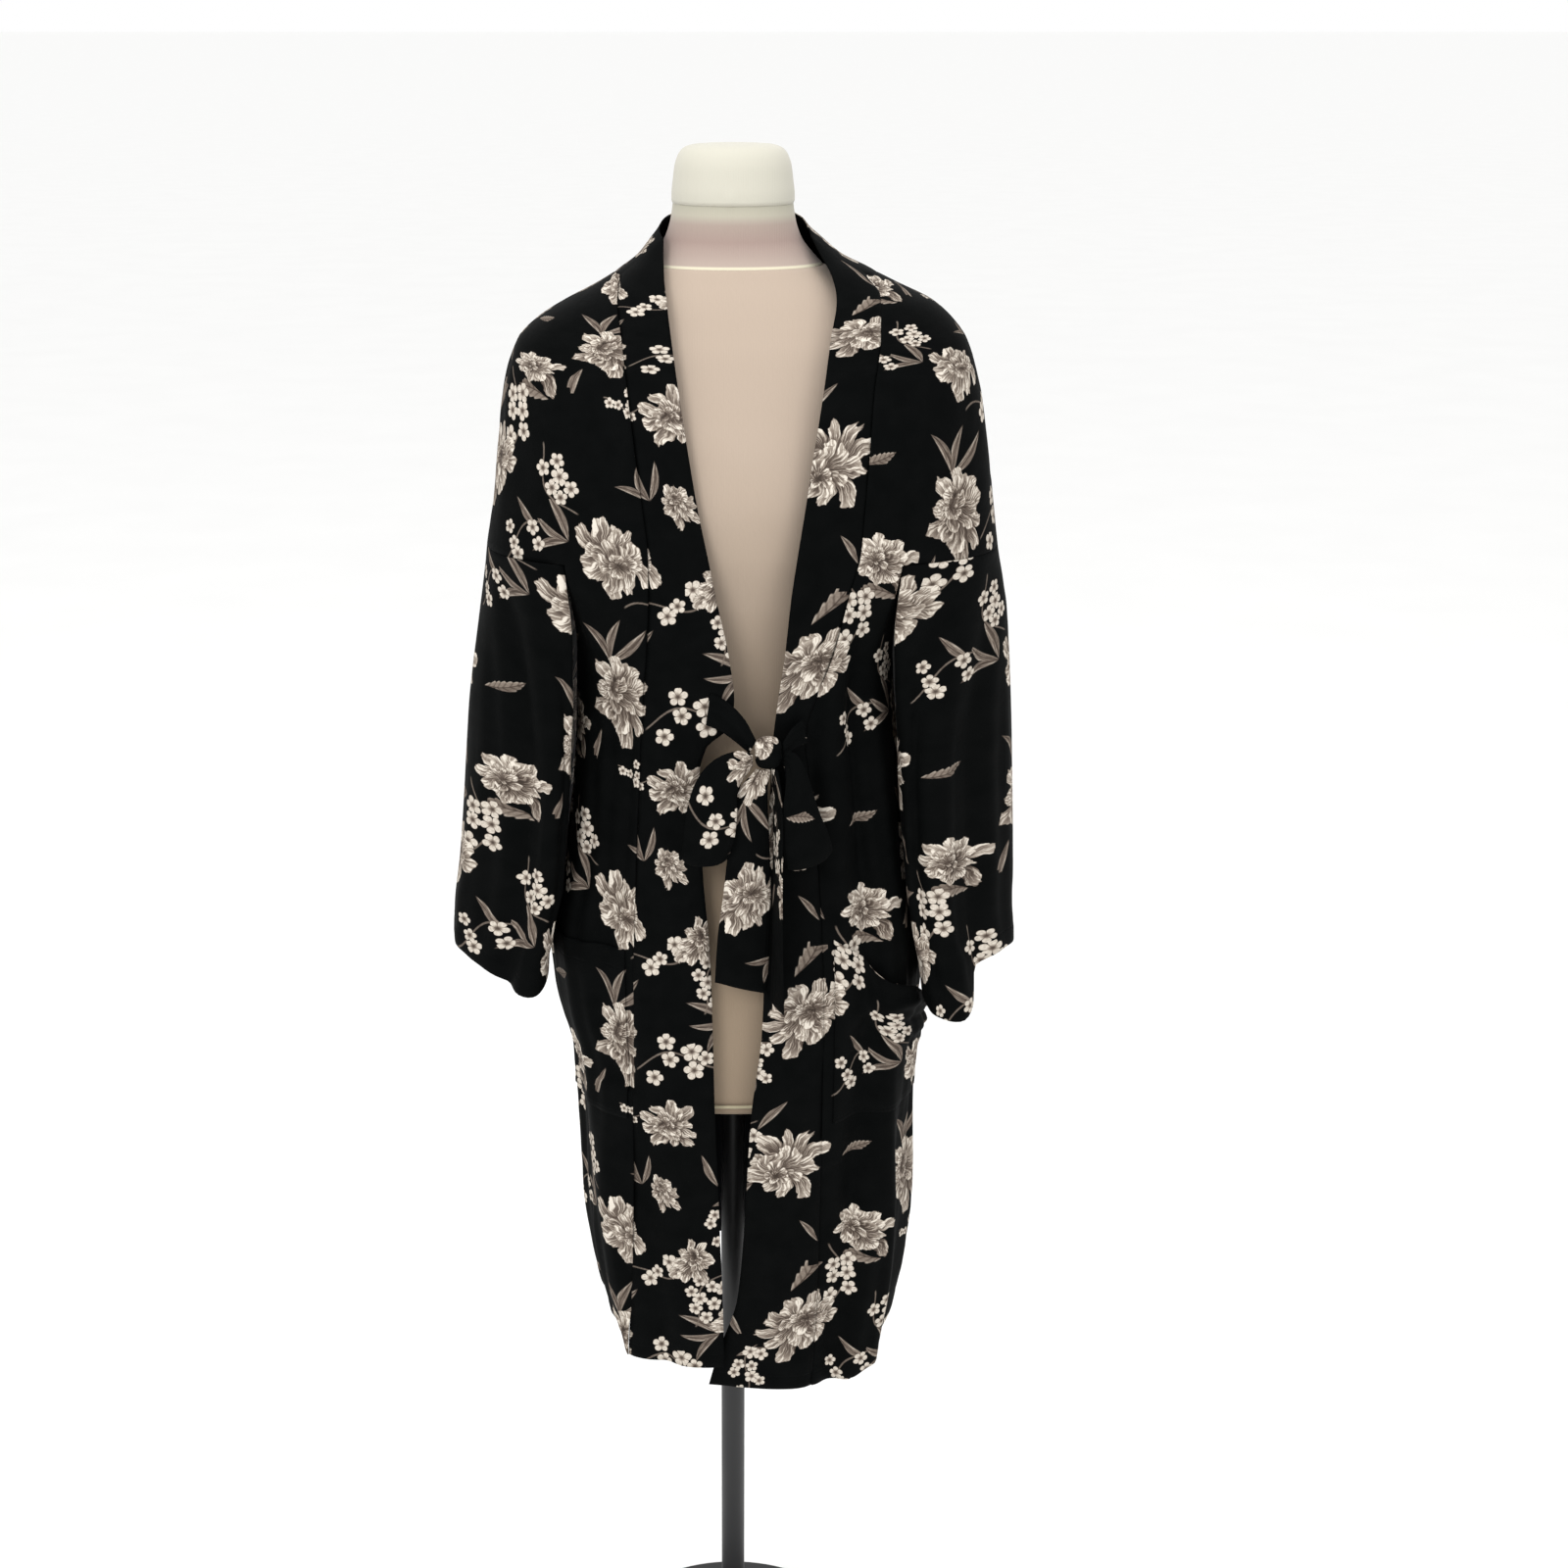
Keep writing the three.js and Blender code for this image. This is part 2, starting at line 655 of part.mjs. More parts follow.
// A point of the sleeve below the armhole. Turn is 0 at the outer line,
// 90 in front, 180 against the body and 270 behind.
function sleeveRing(side, turn, z) {
  const name = sideName(side);
  const c = Math.cos(radians(turn));
  const s = Math.sin(radians(turn));
  const half = sleeve[`${name}Half`](z);
  const deep = sleeve.deep(z);
  const lean = sleeve.lean(z);
  const out = foldHeight(SLEEVE_FOLDS, side, turn, z);
  const n = Math.hypot(c / half, s / deep);
  const x = sleeve[`${name}X`](z) + half * c - lean * s * s + (out * c) / half / n;
  const y = -deep * s - (out * s) / deep / n;
  return new THREE.Vector3(side * x, y, z);
}

const SLEEVE_LEVELS = [0, 0.05, 0.11, 0.18, 0.26, 0.35, 0.45, 0.55, 0.65, 0.75, 0.84, 0.92, 1];
const SLEEVE_FADE = 210;

// The sleeve, hung from the armhole seam
function sleeveSheet(side) {
  const sheet = new Sheet();
  const top = [];
  for (let j = 0; j < FRONT_ARM_COLUMNS; j += 1) {
    const c = 2 - j / FRONT_ARM_COLUMNS;
    top.push({ point: onRing(yoke, side, turnOf(yoke, side, c, ARMHOLE_Z), ARMHOLE_Z), turn: (2 - c) * 112 });
  }
  for (let j = 0; j < FRONT_ARM_COLUMNS; j += 1) {
    const c = 1 + j / FRONT_ARM_COLUMNS;
    top.push({ point: underarm(side, c), turn: 112 + (c - 1) * 68 });
  }
  for (let j = 0; j < BACK_ARM_COLUMNS; j += 1) {
    const c = 2 + j / BACK_ARM_COLUMNS;
    top.push({ point: underarm(side, c), turn: 180 + (c - 2) * 68 });
  }
  for (let j = 0; j < BACK_ARM_COLUMNS; j += 1) {
    const c = 3 - j / BACK_ARM_COLUMNS;
    top.push({ point: onRing(yoke, side, turnOf(yoke, side, c, ARMHOLE_Z), ARMHOLE_Z), turn: 248 + (3 - c) * 112 });
  }
  const ids = SLEEVE_LEVELS.map((level) => {
    const row = top.map(({ point, turn }) => {
      const foot = cuff[sideName(side)](turn);
      const z = mix(ARMHOLE_Z, foot, level);
      const fade = 1 - ease((ARMHOLE_Z - z) / SLEEVE_FADE);
      const shift = point.clone().sub(sleeveRing(side, turn, ARMHOLE_Z));
      const made = sleeveRing(side, turn, z).addScaledVector(shift, fade);
      const inner = Math.max(0, -Math.cos(radians(turn)) + 0.35);
      made.x += side * 2.9 * Math.min(1, inner * 1.6) * fade;
      return sheet.add(made);
    });
    return [...row, row[0]];
  });
  sheet.grid(ids, side > 0);
  return { sheet, ids };
}

// A patch pocket made from the front panel's own points, moved out
function pocketSheet(side, front) {
  const { lastColumn, bulge, sag } = POCKETS.find((row) => row.side === side);
  const sheet = new Sheet();
  const normals = front.sheet.normals();
  const rows = POCKET_FOOT_ROW - POCKET_TOP_ROW;
  const wide = lastColumn - POCKET_FIRST_COLUMN;
  const ids = [];
  for (let i = 0; i <= rows; i += 1) {
    const row = [];
    for (let j = 0; j <= wide; j += 1) {
      const id = front.bodyIds[POCKET_TOP_ROW + i][POCKET_FIRST_COLUMN + j];
      const down = 1 - i / rows;
      const across = 0.8 * Math.sin((Math.PI * j) / wide) + 0.6 * (j / wide);
      const out = CLOTH + SEAM + bulge * across * down;
      const drop = sag * (j / wide) ** 1.2 * down ** 1.4;
      const point = front.sheet.points[id].clone().addScaledVector(normals[id], out);
      point.z -= drop;
      row.push(sheet.add(point));
    }
    ids.push(row);
  }
  sheet.grid(ids, side < 0);
  return sheet;
}

// A flat strip through its cross lines
function stripGeometry(rows) {
  const smooth = [];
  const steps = 2;
  const path = curves(rows.map((row, i) => ({ ...row, i })), STRIP, 'i');
  for (let k = 0; k <= (rows.length - 1) * steps; k += 1) {
    smooth.push(Object.fromEntries(STRIP.map((name) => [name, path[name](k / steps)])));
  }
  const sheet = new Sheet();
  const across = [-0.5, -0.17, 0.17, 0.5];
  const ids = smooth.map((row) => across.map((w) => sheet.add(new THREE.Vector3(
    row.x + w * row.wide * Math.cos(radians(row.turn)) * Math.cos(radians(row.roll)),
    row.y + w * row.wide * Math.sin(radians(row.turn)) - (Math.abs(w) < 0.3 ? 1.2 : 0),
    row.z + w * row.wide * Math.sin(radians(row.roll)),
  ))));
  sheet.grid(ids, false);
  return sheet.geometry();
}

// Solid rings stacked into one closed body
function stackGeometry(rows, around, topZ = null) {
  const points = [];
  const index = [];
  const read = curves(rows, ['half', 'front', 'back', 'square']);
  const levels = [];
  rows.forEach((row, i) => {
    levels.push(row.z);
    const next = rows[i + 1];
    if (next && next.z - row.z > 45) levels.push((row.z + next.z) / 2);
  });
  for (const z of levels) {
    const r = { half: read.half(z), front: read.front(z), back: read.back(z), square: read.square(z) };
    for (let j = 0; j < around; j += 1) {
      const [x, y] = ringPoint(r, 1, (j / around) * 360);
      points.push(new THREE.Vector3(x, y, z));
    }
  }
  for (let i = 0; i + 1 < levels.length; i += 1) {
    for (let j = 0; j < around; j += 1) {
      const k = (j + 1) % around;
      const a = i * around + j;
      const b = i * around + k;
      index.push(a, b, b + around, a, b + around, a + around);
    }
  }
  const foot = points.push(new THREE.Vector3(0, 0, levels[0])) - 1;
  const crown = points.push(new THREE.Vector3(0, 0, topZ ?? levels.at(-1))) - 1;
  const start = (levels.length - 1) * around;
  for (let j = 0; j < around; j += 1) {
    const k = (j + 1) % around;
    index.push(foot, k, j, crown, start + j, start + k);
  }
  return geometryFrom(points, index);
}

// The piping cord above the form's lower rim
function pipingGeometry() {
  const z = RIM_Z + 9;
  const cord = 1.6;
  const around = 44;
  const read = curves(FORM, ['half', 'front', 'back', 'square']);
  const r = { half: read.half(z), front: read.front(z), back: read.back(z), square: read.square(z) };
  const points = [];
  const index = [];
  for (let j = 0; j < around; j += 1) {
    const turn = (j / around) * 360;
    const [x, y] = ringPoint(r, 1, turn);
    const [nx, ny] = ringNormal(r, 1, turn);
    for (let k = 0; k < 6; k += 1) {
      const a = radians(k * 60);
      const out = cord + 0.8 + cord * Math.cos(a);
      points.push(new THREE.Vector3(x + nx * out, y + ny * out, z + cord * Math.sin(a)));
    }
  }
  for (let j = 0; j < around; j += 1) {
    for (let k = 0; k < 6; k += 1) {
      const a = j * 6 + k;
      const b = j * 6 + ((k + 1) % 6);
      const c = ((j + 1) % around) * 6 + ((k + 1) % 6);
      const d = ((j + 1) % around) * 6 + k;
      index.push(a, c, b, a, d, c);
    }
  }
  return geometryFrom(points, index);
}

function turned(profile, segments) {
  const geometry = new THREE.LatheGeometry(profile.map(([r, z]) => new THREE.Vector2(r, z)), segments);
  geometry.rotateX(Math.PI / 2);
  return geometry;
}

// The knot: a rounded pad drawn in at its waist
function knotGeometry() {
  const knot = new THREE.SphereGeometry(1, 14, 10);
  const at = knot.attributes.position;
  for (let i = 0; i < at.count; i += 1) {
    const p = new THREE.Vector3().fromBufferAttribute(at, i);
    const square = (v) => Math.sign(v) * Math.abs(v) ** 0.75;
    at.setXYZ(i, 31 + square(p.x) * 12.5, -138.5 + square(p.y) * 9.5, 1066 + square(p.z) * 15);
  }
  return knot;
}

// Putting the pieces together

const CLOTH_COLOUR = 0x15161b;
const FORM_COLOUR = 0xe9e0d6;
const STAND_COLOUR = 0x0b0b0c;

function piece(name, geometry, colour, roughness = 0.9) {
  const material = new THREE.MeshStandardMaterial({ color: colour, roughness });
  const mesh = new THREE.Mesh(geometry, material);
  mesh.name = name;
  return mesh;
}

function buildCoat() {
  const meshes = [];
  const cloth = (name, geometry) => meshes.push(piece(name, geometry, CLOTH_COLOUR));
  const fronts = { [-1]: frontSheet(-1), 1: frontSheet(1) };
  const back = backSheet();
  const bands = { [-1]: bandSheet(-1, back), 1: bandSheet(1, back) };

  for (const side of [-1, 1]) {
    cloth(`pocket_${sideName(side)}`, pocketSheet(side, fronts[side]).geometry());
  }

  for (const side of [-1, 1]) {
    const { sheet, yokeIds, bodyIds } = fronts[side];
    sheet.draw(column(yokeIds, 0), column(yokeIds, 1));
    sheet.draw(column(yokeIds, -1), column(yokeIds, -2));
    sheet.draw(yokeIds[0].slice(1), yokeIds[1].slice(1));
    sheet.draw(column(bodyIds, 0).slice(1), column(bodyIds, 1).slice(1));
    sheet.draw(column(bodyIds, -1), column(bodyIds, -2));
    cloth(`front_${sideName(side)}`, sheet.geometry());

    const band = bands[side];
    band.sheet.draw(column(band.ids, 0), column(band.ids, 1), SEAM);
    band.sheet.draw(band.ids.at(-1), band.ids.at(-2));
    cloth(`band_${sideName(side)}`, band.sheet.geometry());

    const arm = sleeveSheet(side);
    arm.sheet.draw(arm.ids[0].slice(0, -1), arm.ids[1].slice(0, -1), SEAM);
    cloth(`sleeve_${sideName(side)}`, arm.sheet.geometry());
  }

  back.sheet.draw(column(back.yokeIds, 0), column(back.yokeIds, 1));
  back.sheet.draw(column(back.yokeIds, -1), column(back.yokeIds, -2));
  back.sheet.draw(back.yokeIds[0].slice(1, -1), back.yokeIds[1].slice(1, -1));
  back.sheet.draw(column(back.bodyIds, 0), column(back.bodyIds, 1));
  back.sheet.draw(column(back.bodyIds, -1), column(back.bodyIds, -2));
  cloth('back', back.sheet.geometry());

  cloth('tie_strap_left', stripGeometry(TIE_STRAP_LEFT));
  cloth('tie_strap_right', stripGeometry(TIE_STRAP_RIGHT));
  cloth('bow_knot', knotGeometry());
  cloth('bow_loop_left', stripGeometry(BOW_LOOP_LEFT));
  cloth('bow_loop_right', stripGeometry(BOW_LOOP_RIGHT));
  cloth('tie_tail_front', stripGeometry(TAIL_FRONT));
  cloth('tie_tail_side', stripGeometry(TAIL_SIDE));
  return meshes;
}

function buildForm() {
  const around = 32;
  const torso = FORM.map((row) => ({ ...row }));
  torso.at(-1).z = NECK_SEAM_Z - 0.4;
  const neck = FORM_NECK.map((row) => ({ ...row }));
  neck.at(-1).z = CAP_FOOT_Z - 0.4;
  return [
    piece('form_torso', stackGeometry(torso, around), FORM_COLOUR),
    piece('form_neck', stackGeometry(neck, around), FORM_COLOUR),
    piece('form_cap', stackGeometry(FORM_CAP, around, 1581), FORM_COLOUR),
    piece('form_piping', pipingGeometry(), FORM_COLOUR),
    piece('stand_pole', turned([
      [0, BASE_THICK + 0.4],
      [POLE_R, BASE_THICK + 0.4],
      [POLE_R, RIM_Z - 0.4],
      [0, RIM_Z - 0.4],
    ], 24), STAND_COLOUR, 0.45),
    piece('stand_base', turned([
      [0, 0],
      [BASE_R - 2, 0],
      [BASE_R, 2],
      [BASE_R, BASE_THICK - 2.5],
      [BASE_R - 0.8, BASE_THICK - 0.8],
      [BASE_R - 2.5, BASE_THICK],
      [0, BASE_THICK],
    ], 44), STAND_COLOUR, 0.45),
  ];
}

const coatOnForm = new THREE.Group();
coatOnForm.name = 'kimono_coat_on_dress_form';
coatOnForm.add(...buildForm(), ...buildCoat());

export default coatOnForm;
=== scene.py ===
"""A tie-front kimono coat worn by a limbless dress form on a pole stand."""
import math

import bmesh
import bpy
import numpy as np
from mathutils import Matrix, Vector


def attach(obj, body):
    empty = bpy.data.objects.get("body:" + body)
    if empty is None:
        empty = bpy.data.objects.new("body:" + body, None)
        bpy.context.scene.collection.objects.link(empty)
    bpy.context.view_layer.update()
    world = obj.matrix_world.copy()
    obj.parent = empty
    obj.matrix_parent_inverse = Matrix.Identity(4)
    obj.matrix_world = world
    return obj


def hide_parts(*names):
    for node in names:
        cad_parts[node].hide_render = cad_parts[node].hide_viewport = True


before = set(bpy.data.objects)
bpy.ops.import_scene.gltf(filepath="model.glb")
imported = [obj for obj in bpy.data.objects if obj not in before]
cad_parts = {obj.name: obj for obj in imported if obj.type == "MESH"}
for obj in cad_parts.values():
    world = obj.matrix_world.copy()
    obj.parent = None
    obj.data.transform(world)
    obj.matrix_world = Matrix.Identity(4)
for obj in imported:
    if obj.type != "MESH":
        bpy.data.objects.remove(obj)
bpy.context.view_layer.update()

# The camera stands in front of the coat, a little higher than the form, and looks down

camera_data = bpy.data.cameras.new("studio_camera")
camera_data.sensor_width = 36
camera_data.lens = 53.235
camera_data.shift_x = 0.0325
camera = bpy.data.objects.new("studio_camera", camera_data)
camera.location = (0, -2.1, 1.68)
camera.rotation_euler = (math.radians(90 - 18.16), 0, 0)
bpy.context.scene.collection.objects.link(camera)
bpy.context.scene.camera = camera

# Sizes in millimetres

MM = 0.001
WALL = 1.0                # cloth as it is drawn
CLOTH = 1.2               # cloth as it is built in the frame
SEAM = 0.4                # clear gap where two pieces meet
NECK_POINT_Z = 1470
BACK_NECK_DIP = 15
ARMHOLE_Z = 1230
UNDERARM_Z = 1198
UNDERARM_X = 151
SPLIT_X = 146             # where body and sleeve part at the armhole
SPLIT_FADE = 130          # how far below it the body has its own section
SLEEVE_FADE = 210         # and how far below it the sleeve has
RIM_Z = 695
PIPING_Z = 704
SEAM_TAPE_Z = 719
POLE_R = 12
BASE_R = 145
BASE_THICK = 8
HEM_DEEP = 14             # turned-up hem of the body
HEM_THICK = 0.45          # what it adds to the cloth
CUFF_HEM_DEEP = 16        # turned-up hem of the sleeves
CUFF_HEM_THICK = 0.4
POCKET_WIDE = 150
POCKET_TALL = 172
POCKET_HEM_DEEP = 22
TIE_WIDE = 48             # flat cloth of a tie
TIE_WALL = 0.9
GATHER_REACH = 26         # how far from the knot a tie is gathered
BAND_WIDE_BEHIND = 58
PAPER_REACH = 500         # metres, past anything that the camera sees
BODY_LEVELS = [
    1230, 1203, 1174, 1143, 1112, 1088, 1066, 1036, 1000, 958, 912, 866,
    836, 806, 776, 742, 690, 640,
]
LAST_LEVEL = len(BODY_LEVELS) - 1
BODY_ROWS = 21            # the rows after the last level lean towards the hem
YOKE_ROWS = 12
MIDDLE_BACK = 4           # column in the middle of the back


def table(names, rows):
    return {name: np.array([row[i] for row in rows], float) for i, name in enumerate(names.split())}


# Sections of the coat above the armholes, sleeves included, and of its body below
YOKE = table("z left right front back square", [
    (1530, 59, 60, 62, 66, 2.1),
    (1513, 63, 64, 64, 72, 2.1),
    (1495, 74, 82, 67, 82, 2.2),
    (1483, 84, 97, 71, 90, 2.2),
    (1471, 102, 123, 78, 97, 2.3),
    (1459, 122, 148, 86, 103, 2.3),
    (1444, 151, 179, 94, 108, 2.4),
    (1429, 175, 196, 100, 112, 2.5),
    (1412, 192, 208, 106, 116, 2.6),
    (1373, 205, 219, 117, 121, 2.7),
    (1328, 211, 227, 125, 124, 2.7),
    (1279, 217, 234, 129, 125, 2.7),
    (1230, 224, 241, 129, 124, 2.7),
])
BODY = table("z left right front back square", [
    (1230, 149, 149, 129, 124, 3.2),
    (1150, 144, 146, 127, 122, 2.7),
    (1069, 146, 150, 123, 121, 2.5),
    (960, 155, 161, 123, 126, 2.5),
    (860, 172, 176, 125, 134, 2.5),
    (800, 168, 177, 125, 136, 2.5),
    (726, 153, 176, 123, 135, 2.5),
    (651, 151, 177, 120, 133, 2.5),
    (575, 149, 179, 118, 131, 2.5),
    (508, 141, 174, 117, 129, 2.5),
    (430, 126, 161, 115, 127, 2.5),
    (390, 124, 155, 115, 127, 2.5),
])

# X of the front edges and of the band seams down the opening
OPENING = table("z left_edge left_seam right_edge right_seam", [
    (1514, -60, -97, 62, 107),
    (1490, -60, -98, 75, 110),
    (1470, -59, -99, 86, 116),
    (1455, -57, -100, 89, 127),
    (1425, -53, -96, 84, 127),
    (1377, -46, -90, 77, 121),
    (1320, -37, -83, 68, 117),
    (1279, -30, -78, 62, 114),
    (1240, -22, -74, 56, 111),
    (1204, -15, -74, 51, 101),
    (1146, -3, -77, 45, 86),
    (1110, 1, -80, 40, 74),
    (1085, -4, -81, 37, 66),
    (1065, -24, -83, 35, 64),
    (1040, -30, -84, 34, 67),
    (956, -28, -88, 31, 76),
    (862, -21, -92, 29, 82),
    (792, -19, -93, 27, 84),
    (700, -17, -95, 17, 84),
    (585, -13, -97, 11, 83),
    (500, -10, -98, 4, 82),
    (437, -9, -99, -15, 80),
    (390, -9, -99, -27, 78),
])
COLLAR_RISE = table("z height", [
    (1425, 1425), (1450, 1450.5), (1462, 1466), (1467, 1484), (1470, 1502),
])
COLLAR_BACK = table("turn edge height", [
    (0, -8, 1509), (30, 24, 1517), (60, 57, 1523), (90, 90, 1526),
])
SLEEVE = table("z left_x left_half right_x right_half deep lean", [
    (1230, 187, 38, 199, 43, 101, 30),
    (1150, 195, 42, 207, 48, 98, 44),
    (1069, 203, 45, 212, 49, 96, 47),
    (990, 210, 45, 217, 48, 95, 47),
    (920, 217, 45, 222, 46, 94, 47),
    (870, 225, 43.6, 226, 43, 93, 44),
    (840, 226, 44, 228, 43, 92, 37),
    (800, 226, 46, 229, 42, 92, 32),
])
CUFF = table("turn left right", [
    (0, 846, 838), (30, 836, 841), (50, 829, 832), (60, 823, 798), (74, 817, 787),
    (92, 813, 790), (108, 819, 794), (130, 830, 803), (180, 839, 818),
    (270, 835, 826), (360, 846, 838),
])
HEM = table("place left right", [
    (-1, 427, 403), (0, 424, 395), (0.3, 429, 398), (0.6, 457, 412),
    (1, 473, 442), (2, 440, 440),
])

# Folds: the first rows are those of the solids, the others are finer
FOLD_NAMES = "side turn_top turn_foot top foot wide deep"
BODY_FOLDS = table(FOLD_NAMES, [
    (1, -44, -50, 1320, 560, 7, -9),
    (1, -53, -58, 1250, 640, 5, 5),
    (1, -36, -38, 1160, 400, 7, 6),
    (1, -54, -55, 760, 380, 6, -8),
    (1, -24, -24, 720, 380, 8, -7),
    (-1, -46, -48, 1180, 720, 7, -6),
    (-1, -58, -60, 720, 380, 6, -7),
    (-1, -40, -42, 700, 380, 7, 6),
    (-1, -20, -22, 760, 380, 8, -6),
    (1, 42, 48, 1330, 380, 9, -9),
    (1, 62, 68, 1180, 380, 8, 7),
    (1, 24, 26, 1100, 380, 8, 5),
    (-1, 44, 50, 1330, 380, 9, -9),
    (-1, 70, 76, 1200, 380, 8, -7),
    (-1, 26, 28, 1120, 380, 8, 6),
])
FINE_FOLDS = table(FOLD_NAMES, [
    (1, -48, -42, 1210, 690, 2.6, -3.4),
    (1, -41, -33, 1150, 560, 2.2, -2.6),
    (1, -60, -66, 1185, 900, 2.2, -2.2),
    (1, -66, -76, 1130, 1000, 2.4, 2.2),
    (1, -72, -57, 1075, 1260, 2.4, -2.2),
    (1, -30, -31, 900, 385, 2.6, -3.2),
    (1, -63, -64, 700, 385, 2.8, -2.6),
    (1, -45, -47, 640, 385, 3.0, 3.0),
    (1, -14, -16, 1130, 500, 2.8, -3.0),
    (-1, -54, -52, 1230, 830, 2.4, -2.4),
    (-1, -36, -37, 1180, 640, 2.4, -2.8),
    (-1, -64, -66, 1090, 820, 2.0, 1.6),
    (-1, -49, -50, 640, 385, 2.6, -3.0),
    (-1, -30, -30, 620, 385, 2.8, 3.2),
    (-1, -12, -15, 1140, 480, 2.8, -3.0),
    (1, 34, 36, 1190, 640, 3.0, -3.0),
    (1, 54, 58, 1240, 400, 3.0, -3.4),
    (1, 76, 78, 1320, 520, 3.2, -2.8),
    (1, 14, 15, 1050, 385, 2.6, -2.6),
    (-1, 34, 37, 1180, 560, 3.0, -3.2),
    (-1, 58, 61, 1260, 385, 3.0, -3.0),
    (-1, 83, 84, 1060, 385, 3.0, 2.6),
    (-1, 13, 14, 1000, 385, 2.6, -2.8),
])
SLEEVE_FOLDS = table(FOLD_NAMES, [
    (-1, 62, 66, 1290, 780, 9, -8),
    (-1, 84, 88, 1230, 780, 12, 5),
    (1, 46, 50, 1400, 780, 9, -9),
    (1, 72, 76, 1230, 780, 13, 6),
    (-1, 292, 288, 1250, 780, 14, -7),
    (1, 288, 292, 1250, 780, 14, -7),
])
FINE_SLEEVE_FOLDS = table(FOLD_NAMES, [
    (-1, 40, 44, 1180, 800, 5, -2.6),
    (-1, 100, 104, 1190, 830, 4, -3.0),
    (-1, 76, 75, 1080, 800, 4, -2.2),
    (-1, 22, 20, 1020, 800, 6, 2.2),
    (-1, 262, 258, 1200, 790, 6, -3.0),
    (-1, 318, 322, 1150, 790, 6, -2.8),
    (1, 28, 26, 1160, 800, 5, -2.4),
    (1, 60, 63, 1120, 780, 4, -2.8),
    (1, 92, 96, 1200, 790, 5, -3.2),
    (1, 108, 112, 1090, 800, 4, 2.4),
    (1, 258, 262, 1190, 790, 6, -3.0),
    (1, 318, 314, 1140, 790, 6, -2.8),
    (1, 124, 130, 1090, 780, 14, 3.2),
])

# Patch pockets, over rows 11 to 16 of the front: first and last column, how far the mouth
# stands off, and how far its outer corner sinks
POCKETS = {-1: (1 / 7, 13 / 7, 1.5, 4), 1: (1 / 7, 12 / 7, 12, 80)}

# The right pocket's mouth falls into swags: where down the pocket each starts, and its height
SWAGS = ((0.08, 6.0), (0.3, -5.0), (0.48, 5.0), (0.7, 3.0))

# Turns of the sleeve and columns of the armhole that they are sewn to: over the arm, down the
# front, at the underarm, up the back and over the arm again
ARMHOLE_TURNS = (0, 112, 180, 248, 360)
ARMHOLE_COLUMNS = (2, 1, 2, 3, 2)

# Cross lines of the tie's strips
STRIP = "x y z wide turn roll"
TIE_STRAP_LEFT = table(STRIP, [
    (-22, -126.4, 1103, 30, 0, 82),
    (-9, -128.6, 1097, 27, 0, 76),
    (5, -133.5, 1086, 22, 0, 66),
    (17.4, -138.0, 1071, 13, 0, 64),
])
TIE_STRAP_RIGHT = table(STRIP, [
    (64, -125.6, 1082, 22, 0, 100),
    (54, -131.0, 1077, 18, 0, 100),
    (44.4, -137.5, 1068, 12, 0, 96),
])
BOW_LOOP_LEFT = table(STRIP, [
    (17.1, -141, 1060, 10, 0, -90),
    (8, -146, 1058, 24, 0, -78),
    (-4, -149, 1051, 33, 0, -58),
    (-14, -151, 1035, 41, 2, -32),
    (-19, -151, 1012, 45, 4, -10),
    (-21.5, -150, 988, 46, 5, 0),
    (-24.5, -149, 970, 45, 6, 0),
    (-25, -145, 962, 44, 6, 0),
    (-25, -140.5, 966, 43, 6, 0),
    (-22, -137.5, 988, 42, 5, 0),
    (-17, -136, 1014, 40, 4, -10),
    (-8, -136, 1036, 32, 2, -34),
    (4, -136, 1050, 20, 0, -60),
    (17.0, -137, 1057, 9, 0, -86),
])
BOW_LOOP_RIGHT = table(STRIP, [
    (45.6, -141, 1063, 10, 0, 90),
    (52, -147, 1057, 21, 2, 68),
    (56, -150, 1038, 27, 6, 40),
    (59, -150, 1012, 34, 9, 18),
    (64, -149, 988, 44, 12, 10),
    (67, -147, 968, 47, 12, 12),
    (67, -143, 960, 47, 12, 12),
    (67, -138.5, 965, 45, 12, 10),
    (64, -136, 986, 40, 10, 8),
    (59, -134, 1010, 34, 8, 18),
    (54, -134, 1034, 24, 4, 40),
    (45.8, -136, 1056, 9, 0, 88),
])
TAIL_FRONT = table(STRIP, [
    (27, -139.5, 1050.9, 12, 0, 0),
    (18, -143, 1032, 25, 0, 0),
    (15, -142, 1004, 33, 2, 0),
    (14, -140, 970, 38, 4, 0),
    (12.5, -138, 930, 43, 5, -3),
    (9.5, -136, 884, 48, 4, -8),
    (7, -134, 838, 49, 2, -14),
])
TAIL_SIDE = table(STRIP, [
    (36.5, -139, 1050.9, 8, -50, 0),
    (39.5, -142, 1030, 18, -66, 0),
    (40.5, -145, 1000, 27, -74, 0),
    (40.5, -146, 950, 31, -76, 0),
    (40.5, -146, 890, 32, -74, 0),
    (41, -144, 822, 33, -70, 0),
])

FORM = table("z half front back square", [
    (695, 138, 104, 114, 2.2),
    (720, 142, 106, 118, 2.2),
    (780, 151, 109, 125, 2.2),
    (830, 155, 110, 128, 2.2),
    (880, 152, 109, 126, 2.2),
    (940, 144, 105, 116, 2.2),
    (1000, 128, 98, 104, 2.2),
    (1060, 118, 93, 96, 2.2),
    (1120, 120, 95, 96, 2.2),
    (1190, 130, 106, 103, 2.2),
    (1240, 139, 117, 109, 2.2),
    (1280, 144, 121, 112, 2.2),
    (1320, 151, 117, 114, 2.2),
    (1360, 163, 108, 113, 2.2),
    (1390, 175, 100, 110, 2.2),
    (1410, 178, 94, 106, 2.2),
    (1425, 167, 88, 102, 2.2),
    (1440, 148, 82, 97, 2.1),
    (1455, 121, 75, 91, 2.1),
    (1467, 99, 68, 85, 2.1),
    (1477.6, 80, 62, 77, 2.1),
])
